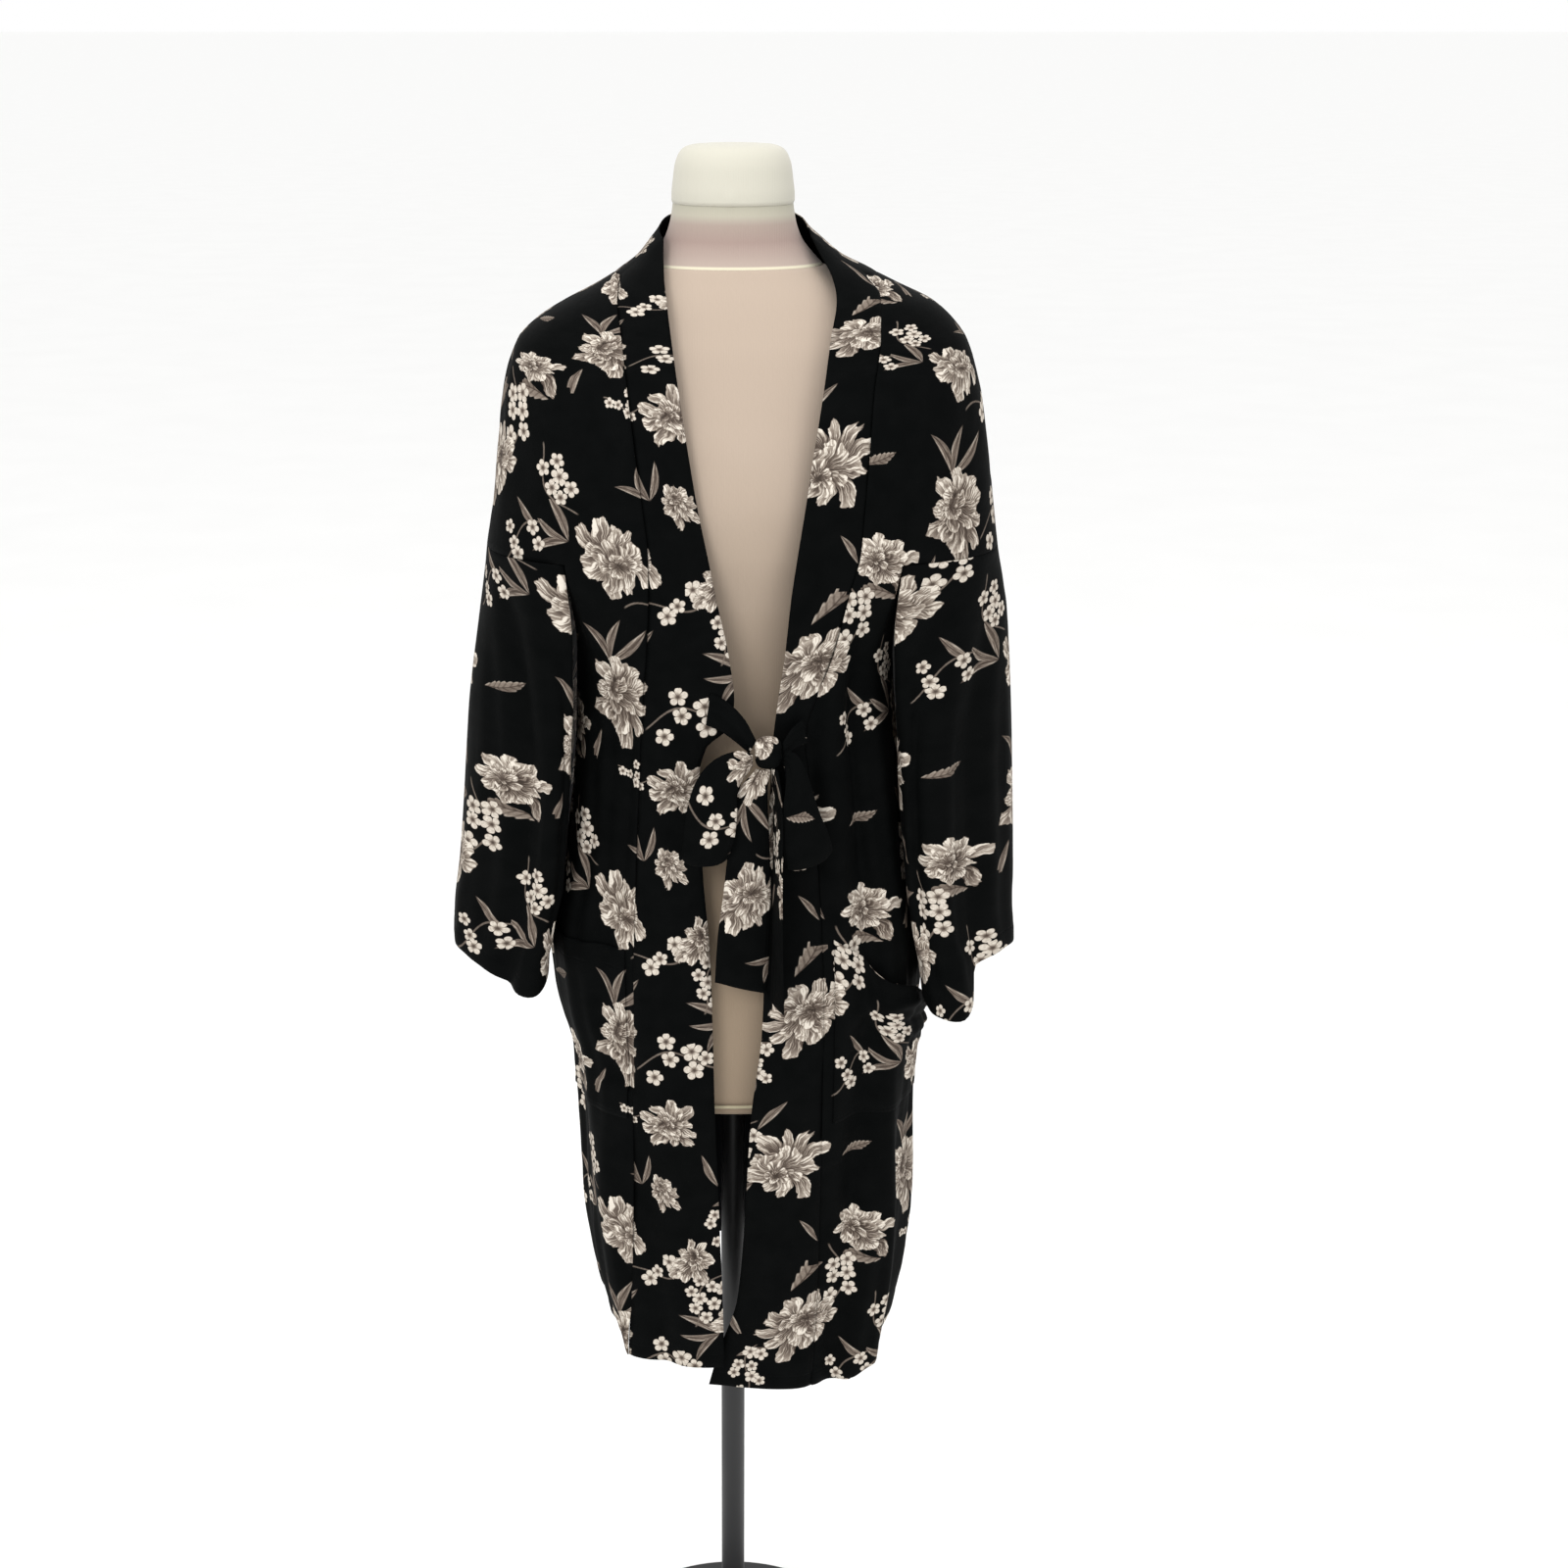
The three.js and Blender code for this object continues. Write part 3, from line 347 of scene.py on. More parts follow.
FORM_NECK = table("z half front back square", [
    (1477.2, 80.3, 62.3, 77.3, 2.1),
    (1487, 71, 56, 67, 2.1),
    (1500, 61, 51, 58, 2.1),
    (1515, 55.5, 49, 53, 2.1),
    (1530.6, 53, 48, 51, 2.1),
])
FORM_CAP = table("z half front back square", [
    (1530, 53.2, 48.4, 51.4, 2.1),
    (1533, 54.3, 50.4, 53.2, 2.1),
    (1539, 54.2, 50.6, 53.4, 2.1),
    (1550, 53.0, 49.6, 52.6, 2.1),
    (1562, 51.4, 48.2, 51, 2.1),
    (1570, 48.8, 45.8, 48.6, 2.1),
    (1576, 44.6, 41.8, 44.6, 2.1),
    (1579.4, 37, 34.6, 37.2, 2.1),
    (1580.6, 22, 21, 22, 2.1),
    (1581, 3, 3, 3, 2.1),
])

# Reading the tables


def mix(a, b, t):
    return a + (b - a) * t


def ease(t):
    u = np.clip(t, 0, 1)
    return u * u * (3 - 2 * u)


def curve(rows, column, against="z"):
    """A smooth curve through a column that never overshoots its rows."""
    order = np.argsort(rows[against])
    x = rows[against][order]
    y = rows[column][order]
    rise = np.diff(y) / np.diff(x)
    product = rise[:-1] * rise[1:]
    total = np.where(product > 0, rise[:-1] + rise[1:], 1)
    slope = np.concatenate([rise[:1], np.where(product > 0, 2 * product / total, 0), rise[-1:]])

    def read(at):
        at = np.clip(at, x[0], x[-1])
        i = np.clip(np.searchsorted(x, at, side="right") - 1, 0, len(x) - 2)
        h = x[i + 1] - x[i]
        t = (at - x[i]) / h
        keep = (2 * t - 3) * t * t
        return (
            (keep + 1) * y[i] - keep * y[i + 1]
            + ((t - 2) * t + 1) * t * h * slope[i] + (t - 1) * t * t * h * slope[i + 1]
        )

    return read


def curves(rows, against="z"):
    return {name: curve(rows, name, against) for name in rows if name != against}


yoke = curves(YOKE)
body = curves(BODY)
opening = curves(OPENING)
collar_rise = curve(COLLAR_RISE, "height")
collar_back = curves(COLLAR_BACK, "turn")
sleeve = curves(SLEEVE)
cuff = curves(CUFF, "turn")
hem = curves(HEM, "place")


def side_name(side):
    return "left" if side < 0 else "right"


def wavy(seed, u, v, wide, high):
    """Smooth uneven waves of a given size, the same on each run."""
    lattice = np.random.default_rng(seed).uniform(-1, 1, (97, 97))
    a = np.asarray(u) / wide + 500
    b = np.asarray(v) / high + 500
    i = np.floor(a).astype(int)
    j = np.floor(b).astype(int)
    s = ease(a - i)
    t = ease(b - j)

    def pick(p, q):
        return lattice[p % 97, q % 97]

    return mix(mix(pick(i, j), pick(i + 1, j), s), mix(pick(i, j + 1), pick(i + 1, j + 1), s), t)


# Sections: turn -90 is the middle front, 0 the side, 90 the middle back


def ring(kind, side, z):
    """Half width, depth in front, depth behind and squareness of a section."""
    half = kind.get("half") or kind[side_name(side)]
    return half(z), kind["front"](z), kind["back"](z), kind["square"](z)


def ring_point(r, side, turn):
    half, front, back, square = r
    c = np.cos(np.radians(turn))
    s = np.sin(np.radians(turn))
    k = (np.abs(c) ** square + np.abs(s) ** square) ** (-1 / square)
    return side * half * c * k, np.where(s < 0, front, back) * s * k


def ring_normal(r, side, turn):
    half, front, back, square = r
    x, y = ring_point(r, side, turn)
    deep = np.where(y < 0, front, back)
    nx = np.sign(x) * np.abs(x / half) ** (square - 1) / half
    ny = np.sign(y) * np.abs(y / deep) ** (square - 1) / deep
    length = np.hypot(nx, ny)
    return nx / length, ny / length


def turn_at(r, side, x):
    u = np.clip(side * x / r[0], -0.999, 0.999)
    return -np.degrees(np.arctan2((1 - np.abs(u) ** r[3]) ** (1 / r[3]), u))


def landmarks(kind, side, z):
    r = ring(kind, side, z)
    name = side_name(side)
    edge = turn_at(r, side, opening[name + "_edge"](z))
    seam = turn_at(r, side, opening[name + "_seam"](z))
    at_armhole = turn_at(ring(yoke, side, ARMHOLE_Z), side, side * SPLIT_X)
    zero = np.zeros_like(edge)
    split, split_back = zero - 40, zero + 40
    if kind is yoke:
        lift = ease((z - ARMHOLE_Z) / (NECK_POINT_Z - ARMHOLE_Z))
        split = mix(at_armhole, seam * 0.5, lift)
        split_back = mix(-at_armhole, 40, lift) + zero
    return np.array([edge, seam, split, zero, split_back, zero + 90])


def turn_of(kind, side, column, z):
    """Column -1 is the front edge, 0 the band seam, 1 the parting, 2 the side, 4 the back."""
    column, z = np.broadcast_arrays(np.asarray(column, float), np.asarray(z, float))
    marks = landmarks(kind, side, z)
    at = np.minimum(4.999999, column + 1)
    i = np.floor(at).astype(int)
    low = np.take_along_axis(marks, i[None], 0)[0]
    high = np.take_along_axis(marks, np.minimum(i + 1, 5)[None], 0)[0]
    return mix(low, high, at - i)


def fold_height(folds, side, turn, z, crest=0.0):
    """Troughs and ridges, each with a soft crest on both flanks."""
    height = np.zeros(np.broadcast(turn, z).shape)
    for i in np.flatnonzero(folds["side"] == side):
        top, foot = folds["top"][i], folds["foot"][i]
        low, high = min(top, foot), max(top, foot)
        along = (top - z) / (top - foot)
        middle = mix(folds["turn_top"][i], folds["turn_foot"][i], along)
        off = (turn - middle) / folds["wide"][i]
        inside = (z > low) & (z < high)
        shape = np.exp(-off * off) - crest * np.exp(-(((np.abs(off) - 2) / 0.8) ** 2))
        fade = ease((high - z) / (high - low) * 3)
        # A fine fold that ends above the hem dies out there too
        if crest and foot > 400:
            fade = fade * ease((z - low) / (high - low) * 4)
        height += np.where(inside, folds["deep"][i] * fade * shape, 0)
    return height


def on_ring(kind, side, turn, z):
    turn, z = np.broadcast_arrays(np.asarray(turn, float), np.asarray(z, float))
    r = ring(kind, side, z)
    x, y = ring_point(r, side, turn)
    nx, ny = ring_normal(r, side, turn)
    out = fold_height(BODY_FOLDS, side, turn, z)
    return np.stack([x + nx * out, y + ny * out, z], -1)


def underarm(side, column):
    along = (np.asarray(column, float) - 1) / 2
    ends = [
        on_ring(yoke, side, turn_of(yoke, side, c, ARMHOLE_Z), ARMHOLE_Z) for c in (1.0, 3.0)
    ]
    belly = np.sin(np.pi * along)
    flat = mix(ends[0], ends[1], along[..., None])
    flat[..., 0] += side * (UNDERARM_X - SPLIT_X) * belly
    flat[..., 2] = ARMHOLE_Z - (ARMHOLE_Z - UNDERARM_Z) * belly
    return flat


def seam_at_armhole(side, column):
    above = on_ring(yoke, side, turn_of(yoke, side, column, ARMHOLE_Z), ARMHOLE_Z)
    under = underarm(side, np.clip(column, 1, 3))
    between = (column > 1) & (column < 3)
    return np.where(between[..., None], under, above)


def body_point(side, column, z):
    column, z = np.broadcast_arrays(np.asarray(column, float), np.asarray(z, float))
    point = on_ring(body, side, turn_of(body, side, column, z), z)
    fade = 1 - ease((ARMHOLE_Z - z) / SPLIT_FADE)
    start = on_ring(body, side, turn_of(body, side, column, ARMHOLE_Z + 0 * z), ARMHOLE_Z + 0 * z)
    point = point + fade[..., None] * (seam_at_armhole(side, column) - start)
    if side > 0:
        # Near the hem the right front passes behind the left one
        point[..., 1] += 7 * ease((570 - z) / 110) * np.clip(1 - column, 0, 1) * (column < 1)
    return point


def yoke_level(row):
    return NECK_POINT_Z - (NECK_POINT_Z - ARMHOLE_Z) * (row / YOKE_ROWS) ** 1.6


def body_level(side, row, column):
    place = np.where(column <= 0, column, column / 2)
    foot = hem[side_name(side)](place)
    upper = np.interp(row, np.arange(LAST_LEVEL + 1), BODY_LEVELS)
    lower = mix(BODY_LEVELS[-1], foot, (row - LAST_LEVEL) / (BODY_ROWS - LAST_LEVEL))
    return np.where(row <= LAST_LEVEL, upper, lower)


# Lengths along the cloth, which carry the print and the weave

TURNS = np.arange(-130, 131)
LEVELS = np.arange(380, 1540, 10.0)


def across_map(kind, side):
    """Arc length round the section from the middle front, by height and turn."""
    rows = []
    for z in LEVELS:
        x, y = ring_point(ring(kind, side, z), side, TURNS.astype(float))
        steps = np.hypot(np.diff(x), np.diff(y))
        arc = np.concatenate([[0], np.cumsum(steps)])
        rows.append(arc - np.interp(-90, TURNS, arc))
    return np.array(rows)


ACROSS = {(name, side): across_map(kind, side)
          for name, kind in (("yoke", yoke), ("body", body)) for side in (-1, 1)}


def across(name, side, turn, z):
    """Reads the arc length of the yoke or the body between its charted places."""
    grid = ACROSS[name, side]
    a = np.clip((z - LEVELS[0]) / 10, 0, len(LEVELS) - 1.001)
    b = np.clip(turn - TURNS[0], 0, len(TURNS) - 1.001)
    i, j = np.floor(a).astype(int), np.floor(b).astype(int)
    s, t = a - i, b - j
    return mix(mix(grid[i, j], grid[i + 1, j], s), mix(grid[i, j + 1], grid[i + 1, j + 1], s), t)


def shoulder_rise(z):
    """The yoke lies back towards the shoulder, so its cloth is longer than its height."""
    return z + 0.9 * np.clip(z - 1390, 0, None) ** 1.12


def body_grain(side, column, z):
    column, z = np.broadcast_arrays(np.asarray(column, float), np.asarray(z, float))
    u = across("body", side, turn_of(body, side, column, z), z)
    fade = 1 - ease((ARMHOLE_Z - z) / SPLIT_FADE)
    top = np.full(z.shape, float(ARMHOLE_Z))
    wanted = across("yoke", side, turn_of(yoke, side, np.clip(column, -1, 1), top), top)
    start = across("body", side, turn_of(body, side, np.clip(column, -1, 1), top), top)
    return u + fade * (wanted - start)


def yoke_grain(side, turn, z):
    return across("yoke", side, turn, z)


# Cloth pieces


def unit_grid(bm, columns, rows):
    """The vertices of a new grid, and how far across and up it each lies, from 0 to 1."""
    verts = bmesh.ops.create_grid(bm, x_segments=columns, y_segments=rows, size=0.5)["verts"]
    from_left, from_foot = np.array([v.co[:2] for v in verts]).T + 0.5
    return verts, from_left, from_foot


def grid_block(bm, layers, columns, rows, span, place):
    """A grid of the mesh set out over column and row numbers and put in its place."""
    verts, from_left, from_foot = unit_grid(bm, columns, rows)
    c = mix(span[0], span[1], np.clip(from_left, 0, 1))
    r = mix(span[2], span[3], np.clip(1 - from_foot, 0, 1))
    points, grain, lift, stitch = place(c, r)
    u, v, lift, line, edge = (np.broadcast_to(n, c.shape) for n in (*grain, lift, *stitch))
    for i, vert in enumerate(verts):
        vert.co = points[i] * MM
        vert[layers[0]] = (u[i], v[i], lift[i])
        vert[layers[1]] = (line[i], edge[i], u[i] + v[i])


def cloth_mesh():
    """An empty mesh whose vertices carry the run of the thread and how far off stitching is."""
    bm = bmesh.new()
    return bm, [bm.verts.layers.float_vector.new(name) for name in ("grain", "stitch")]


def scene_object(bm, name, *materials):
    """Makes an object of a finished mesh."""
    mesh = bpy.data.meshes.new(name)
    bm.to_mesh(mesh)
    bm.free()
    mesh.shade_smooth()
    for material in materials:
        mesh.materials.append(material)
    piece = bpy.data.objects.new(name, mesh)
    bpy.context.scene.collection.objects.link(piece)
    return piece


def model_piece(bm, name, node, slot, *materials):
    """A piece of the model, which stands for one of the frame's nodes."""
    piece = scene_object(bm, name, *materials)
    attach(piece, "root")
    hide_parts(node)
    return piece


def cloth_piece(name, node, blocks, axis, charts, wall=WALL):
    """Joins blocks into one sheet, lifts its fine folds and gives it a wall."""
    bm, layers = cloth_mesh()
    for block in blocks:
        grid_block(bm, layers, *block)
    bmesh.ops.remove_doubles(bm, verts=bm.verts, dist=0.00002)
    bmesh.ops.recalc_face_normals(bm, faces=bm.faces)
    bm.normal_update()
    facing = sum(f.normal.dot(f.calc_center_median() - axis(f.calc_center_median()))
                 for f in bm.faces)
    if facing < 0:
        bmesh.ops.reverse_faces(bm, faces=bm.faces)
        bm.normal_update()
    for vert in bm.verts:
        vert.co = vert.co + vert.normal * (vert[layers[0]][2] * MM)
    piece = model_piece(bm, name, node, "coat_cloth", PRINTED_VISCOSE, VISCOSE_BACK)
    chart_print(piece.data, charts)
    solid = piece.modifiers.new("wall", "SOLIDIFY")
    solid.thickness = wall * MM
    solid.offset = 1
    solid.use_even_offset = False
    solid.material_offset = 1
    return piece


# The print: one repeat of the cloth, charted in millimetres

REPEAT_WIDE = 300
REPEAT_HIGH = 335

# Open flowers: across, up, radius, turn, which one
BLOOMS = [
    (60, 250, 42, 20, 0.2), (124, 170, 28, 80, 0.6), (62, 52, 38, 200, 0.4),
    (205, 300, 40, 140, 0.7), (222, 118, 41, 310, 0.3), (118, 98, 20, 30, 0.5),
    (146, 24, 27, 0, 0.1), (286, 212, 29, 60, 0.8),
]
# Clusters of small blossoms: across, up, radius, turn, which one
CLUSTERS = [
    (126, 238, 41, 10, 0.2), (106, 8, 36, 200, 0.9), (260, 170, 39, 90, 0.5),
    (272, 60, 34, 30, 0.7), (160, 322, 34, 60, 0.1), (8, 112, 35, 120, 0.8),
    (176, 70, 31, 250, 0.6), (76, 180, 22, 0, 0.4),
]
# Leaf sprays: across, up, leaf length, turn, toothed (1) or plain (0) and how many
SPRAYS = [
    (52, 286, 60, 75, 0.3), (36, 218, 58, 255, 0.2), (92, 100, 42, 110, 0.3),
    (214, 160, 62, 62, 1.0), (176, 282, 54, 190, 0.3), (22, 62, 54, 150, 0.3),
    (262, 300, 50, 20, 1.1), (264, 96, 50, 320, 0.2), (152, 142, 50, 300, 0.2),
    (4, 182, 46, 170, 1.0), (208, 34, 54, 230, 0.2), (240, 214, 42, 130, 0.2),
    (196, 96, 44, 200, 0.2),
]
LAYERS = {"bloom": BLOOMS, "cluster": CLUSTERS, "spray": SPRAYS}


def chart_print(mesh, shift):
    """Gives each face the place of its nearest motif, for every layer of the print."""
    count = len(mesh.vertices)
    grain = np.zeros(count * 3, np.float32)
    mesh.attributes["grain"].data.foreach_get("vector", grain)
    uv = grain.reshape(-1, 3)[:, :2].astype(float)
    loop_vert = np.zeros(len(mesh.loops), np.int32)
    mesh.loops.foreach_get("vertex_index", loop_vert)
    starts = np.zeros(len(mesh.polygons), np.int32)
    totals = np.zeros(len(mesh.polygons), np.int32)
    mesh.polygons.foreach_get("loop_start", starts)
    mesh.polygons.foreach_get("loop_total", totals)
    face_of = np.repeat(np.arange(len(starts)), totals)
    middle = np.zeros((len(starts), 2))
    np.add.at(middle, face_of, uv[loop_vert])
    middle /= totals[:, None]
    low, high = uv.min(0), uv.max(0)
    for name, chart in LAYERS.items():
        best = np.full(len(middle), 9.0)
        place = np.zeros((len(middle), 5))
        for across_at, up, size, turn, code in chart:
            first_u = math.floor((low[0] - shift[0] - across_at) / REPEAT_WIDE)
            last_u = math.ceil((high[0] - shift[0] - across_at) / REPEAT_WIDE)
            first_v = math.floor((low[1] - shift[1] - up) / REPEAT_HIGH)
            last_v = math.ceil((high[1] - shift[1] - up) / REPEAT_HIGH)
            for a in range(first_u, last_u + 1):
                for b in range(first_v, last_v + 1):
                    u = shift[0] + across_at + a * REPEAT_WIDE
                    v = shift[1] + up + b * REPEAT_HIGH
                    far = np.hypot(middle[:, 0] - u, middle[:, 1] - v) / size
                    near = far < best
                    best[near] = far[near]
                    place[near] = (u, v, size, math.radians(turn), code)
        site = place[face_of]
        local = (uv[loop_vert] - site[:, :2]) / np.maximum(site[:, 2:3], 1)
        c, s = np.cos(site[:, 3]), np.sin(site[:, 3])
        out = np.stack([
            local[:, 0] * c + local[:, 1] * s,
            local[:, 1] * c - local[:, 0] * s,
            site[:, 4],
        ], -1)
        out[best[face_of] > 1.6] = (9, 9, 0)
        layer = mesh.attributes.new(name, "FLOAT_VECTOR", "CORNER")
        layer.data.foreach_set("vector", out.astype(np.float32).ravel())


# Materials


def linear(code):
    """An sRGB hex colour in the linear values that the shaders take."""
    parts = [int(code[i:i + 2], 16) / 255 for i in (1, 3, 5)]
    return [c / 12.92 if c <= 0.04045 else ((c + 0.055) / 1.055) ** 2.4 for c in parts] + [1]


def new_material(name):
    """A bare material, and the function that adds a node to it."""
    material = bpy.data.materials.new(name)
    material.use_nodes = True
    tree = material.node_tree
    tree.nodes.clear()

    def add(kind, *inputs, take=0, stops=(), **named):
        """Adds a node by its type and settings, fills its inputs and gives what is taken from it."""
        node = tree.nodes.new("ShaderNode" + kind[0])
        for key, value in kind[1].items():
            setattr(node, key, value)
        while stops and len(node.color_ramp.elements) < len(stops):
            node.color_ramp.elements.new(0.5)
        for element, (at, code) in zip(node.color_ramp.elements if stops else (), stops):
            element.position = at
            element.color = linear(code)
        for key, value in [*enumerate(inputs), *named.items()]:
            if value is None:
                continue
            socket = node.inputs[key.replace("_", " ") if isinstance(key, str) else key]
            if isinstance(value, bpy.types.NodeSocket):
                tree.links.new(value, socket)
            else:
                socket.default_value = value
        return node.outputs[take] if len(node.outputs) else None

    return material, add


# Kinds of node
(SINE, COSINE, TIMES, PLUS, MINUS, TIMES_PLUS, POWER, SIZE, LEAST, MOST, WHOLE, NEAREST, WRAPPED,
 OVER, TURN) = [("Math", {"operation": word}) for word in (
     "SINE", "COSINE", "MULTIPLY", "ADD", "SUBTRACT", "MULTIPLY_ADD", "POWER", "ABSOLUTE", "MINIMUM",
     "MAXIMUM", "FLOOR", "ROUND", "FLOORED_MODULO", "DIVIDE", "ARCTAN2")]
ALL_TIMES, ALL_PLUS, ALL_MINUS, ALL_SCALED = [
    ("VectorMath", {"operation": word}) for word in ("MULTIPLY", "ADD", "SUBTRACT", "SCALE")]
EVEN = ("MapRange", {})
SOFT = ("MapRange", {"interpolation_type": "SMOOTHSTEP"})
SPLIT = ("SeparateXYZ", {})
JOINED = ("CombineXYZ", {})
NOISE = ("TexNoise", {})
FLAT_NOISE = ("TexNoise", {"noise_dimensions": "2D"})
SEEDED_NOISE = ("TexNoise", {"noise_dimensions": "4D"})
CHANCE = ("TexWhiteNoise", {})
FLAT_CHANCE = ("TexWhiteNoise", {"noise_dimensions": "2D"})
CELLS = ("TexVoronoi", {"voronoi_dimensions": "2D"})
KNIT = ("TexWave", {"wave_profile": "SIN"})
PLACE = ("TexCoord", {})
GRAIN, STITCH, BLOOM, CLUSTER, SPRAY = [("Attribute", {"attribute_name": word}) for word in (
    "grain", "stitch", "bloom", "cluster", "spray")]
RAMP = ("ValToRGB", {})
MIXED = ("Mix", {"data_type": "RGBA"})
BUMP = ("Bump", {})
SHADER = ("BsdfPrincipled", {})
SURFACE = ("OutputMaterial", {})
EACH = slice(None)        # takes all that a node gives


def distance(add, x, y):
    return add(POWER, add(TIMES_PLUS, x, x, add(TIMES, y, y)), 0.5)


def petal_ring(add, spot, which, petals, radius, drop, light):
    """One ring of streaked petals, each of its own length: where it covers, and its tone."""
    x, y = add(SPLIT, spot, take=EACH)[:2]
    y = add(PLUS, y, drop)
    far = distance(add, x, y)
    start = add(TIMES_PLUS, which, 0.7, 30 * radius)
    sweep = add(TIMES_PLUS, add(TURN, y, x), petals / (2 * math.pi), start)
    number = add(WHOLE, sweep)
    beside = add(MINUS, sweep, number)
    number = add(WRAPPED, number, float(petals))
    chance = add(CHANCE, add(JOINED, number, which, radius), take="Color")
    chance = add(SPLIT, chance, take=EACH)
    off = add(SIZE, add(TIMES_PLUS, beside, 2.0, -1.0))
    round_end = add(TIMES_PLUS, add(POWER, off, 2.6), -0.42, 1.0)
    length = add(TIMES_PLUS, chance[0], 0.55 * radius, 0.55 * radius)
    frill = add(FLAT_NOISE, spot, Scale=9.0, Detail=1.0)
    edge = add(TIMES_PLUS, frill, 0.14 * radius, add(TIMES, round_end, length))
    within = add(MINUS, edge, far)
    mask = add(SOFT, within, 0.0, 0.02, 0.0, 1.0)
    along = add(OVER, far, edge)
    lane = add(TIMES_PLUS, number, 17.3, add(TIMES, beside, 7.0))
    run = add(TIMES_PLUS, along, 1.3, add(TIMES, which, 3.1))
    streak = add(FLAT_NOISE, add(JOINED, lane, run, 0.0), Scale=1.6, Detail=2.0)
    streak = add(SOFT, streak, 0.38, 0.56, 1.0, 0.3)
    faint = add(SOFT, along, 0.6, 1.0, 0.0, 0.45)
    streak = add(EVEN, faint, 0.0, 1.0, streak, 1.0)
    root = add(SOFT, along, 0.25, 1.0, 0.26, 1.0)
    cleft = add(SOFT, off, 0.98, 0.7, 0.3, 1.0)
    outline = add(SOFT, within, 0.0, 0.035, 0.5, 1.0)
    shade = add(TIMES, streak, add(TIMES, root, cleft))
    shade = add(TIMES, shade, add(TIMES, outline, light))
    return mask, add(TIMES_PLUS, chance[1], 0.12, shade)


# Inner rings of an open flower: petals, radius, how far off the middle, and how light
INNER_RINGS = (
    (8, 0.82, -0.08, 1.05), (7, 0.62, -0.18, 0.92), (5, 0.44, -0.26, 1.1), (4, 0.24, -0.3, 0.85),
)


def open_flowers(add):
    """Flowers seen a little from above: the rings of petals sit off their middle."""
    spot = add(BLOOM, take="Vector")
    which = add(NEAREST, add(TIMES, add(SPLIT, spot, take=2), 10.0))
    ragged = add(SEEDED_NOISE, spot, which, take="Color", Scale=1.7, Detail=2.0)
    bent = add(ALL_SCALED, add(ALL_MINUS, ragged, (0.5, 0.5, 0.5)), Scale=0.62)
    bent = add(ALL_PLUS, add(ALL_TIMES, spot, (1.16, 0.9, 1.0)), bent)
    ink, tone = petal_ring(add, bent, which, 10, 1.0, 0.0, 0.9)
    for ring_of_petals in INNER_RINGS:
        mask, shade = petal_ring(add, bent, which, *ring_of_petals)
        ink = add(MOST, ink, mask)
        tone = add(EVEN, mask, 0.0, 1.0, tone, shade)
    return ink, tone


def blossoms(add):
    """Clusters: five-petalled blossoms set at uneven places round a twig."""
    x, y, code = add(SPLIT, add(CLUSTER, take="Vector"), take=EACH)
    code = add(NEAREST, add(TIMES, code, 10.0))
    aside = add(TIMES, code, 3.17)
    flat = add(JOINED, add(PLUS, x, aside), y, 0.0)
    cells = add(CELLS, flat, Scale=2.3, Randomness=0.55).node.outputs
    away = add(ALL_TIMES, add(ALL_MINUS, flat, cells["Position"]), (2.3, 2.3, 0))
    away = add(SPLIT, away, take=EACH)
    far = distance(add, away[0], away[1])
    chance = add(SPLIT, cells["Color"], take=EACH)
    start = add(TIMES, chance[0], 6.0)
    lobe = add(SIZE, add(COSINE, add(TIMES_PLUS, add(TURN, away[1], away[0]), 2.5, start)))
    span = add(TIMES_PLUS, add(POWER, lobe, 0.5), 0.5, 0.5)
    span = add(TIMES, span, add(TIMES_PLUS, chance[1], 0.16, 0.46))
    within = add(MINUS, span, far)
    mask = add(SOFT, within, 0.0, 0.04, 0.0, 1.0)
    site = add(SPLIT, cells["Position"], take=EACH)
    site_x = add(MINUS, site[0], aside)
    ring_at = add(TIMES_PLUS, site_x, site_x, add(TIMES, add(TIMES, site[1], 1.5), site[1]))
    whole = add(EVEN, ring_at, 0.55, 0.5499, 0.0, 1.0)
    kept = add(EVEN, chance[2], 0.2, 0.2001, 0.0, 1.0)
    mask = add(TIMES, add(TIMES, mask, whole), kept)
    heart = add(SOFT, far, 0.02, 0.26, 0.22, 0.88)
    cleft = add(SOFT, lobe, 0.0, 0.3, 0.42, 1.0)
    rim = add(SOFT, within, 0.0, 0.07, 0.72, 1.0)
    shade = add(TIMES, add(TIMES, heart, cleft), rim)
    wave = add(SINE, add(TIMES_PLUS, x, 2.6, code))
    stem = add(SOFT, add(SIZE, add(TIMES_PLUS, wave, -0.28, y)), 0.035, 0.01, 0.0, 1.0)
    stem = add(TIMES, stem, add(SOFT, add(SIZE, x), 1.0, 0.9, 0.0, 0.8))
    return add(MOST, stem, mask), add(EVEN, mask, 0.0, 1.0, 0.38, shade)


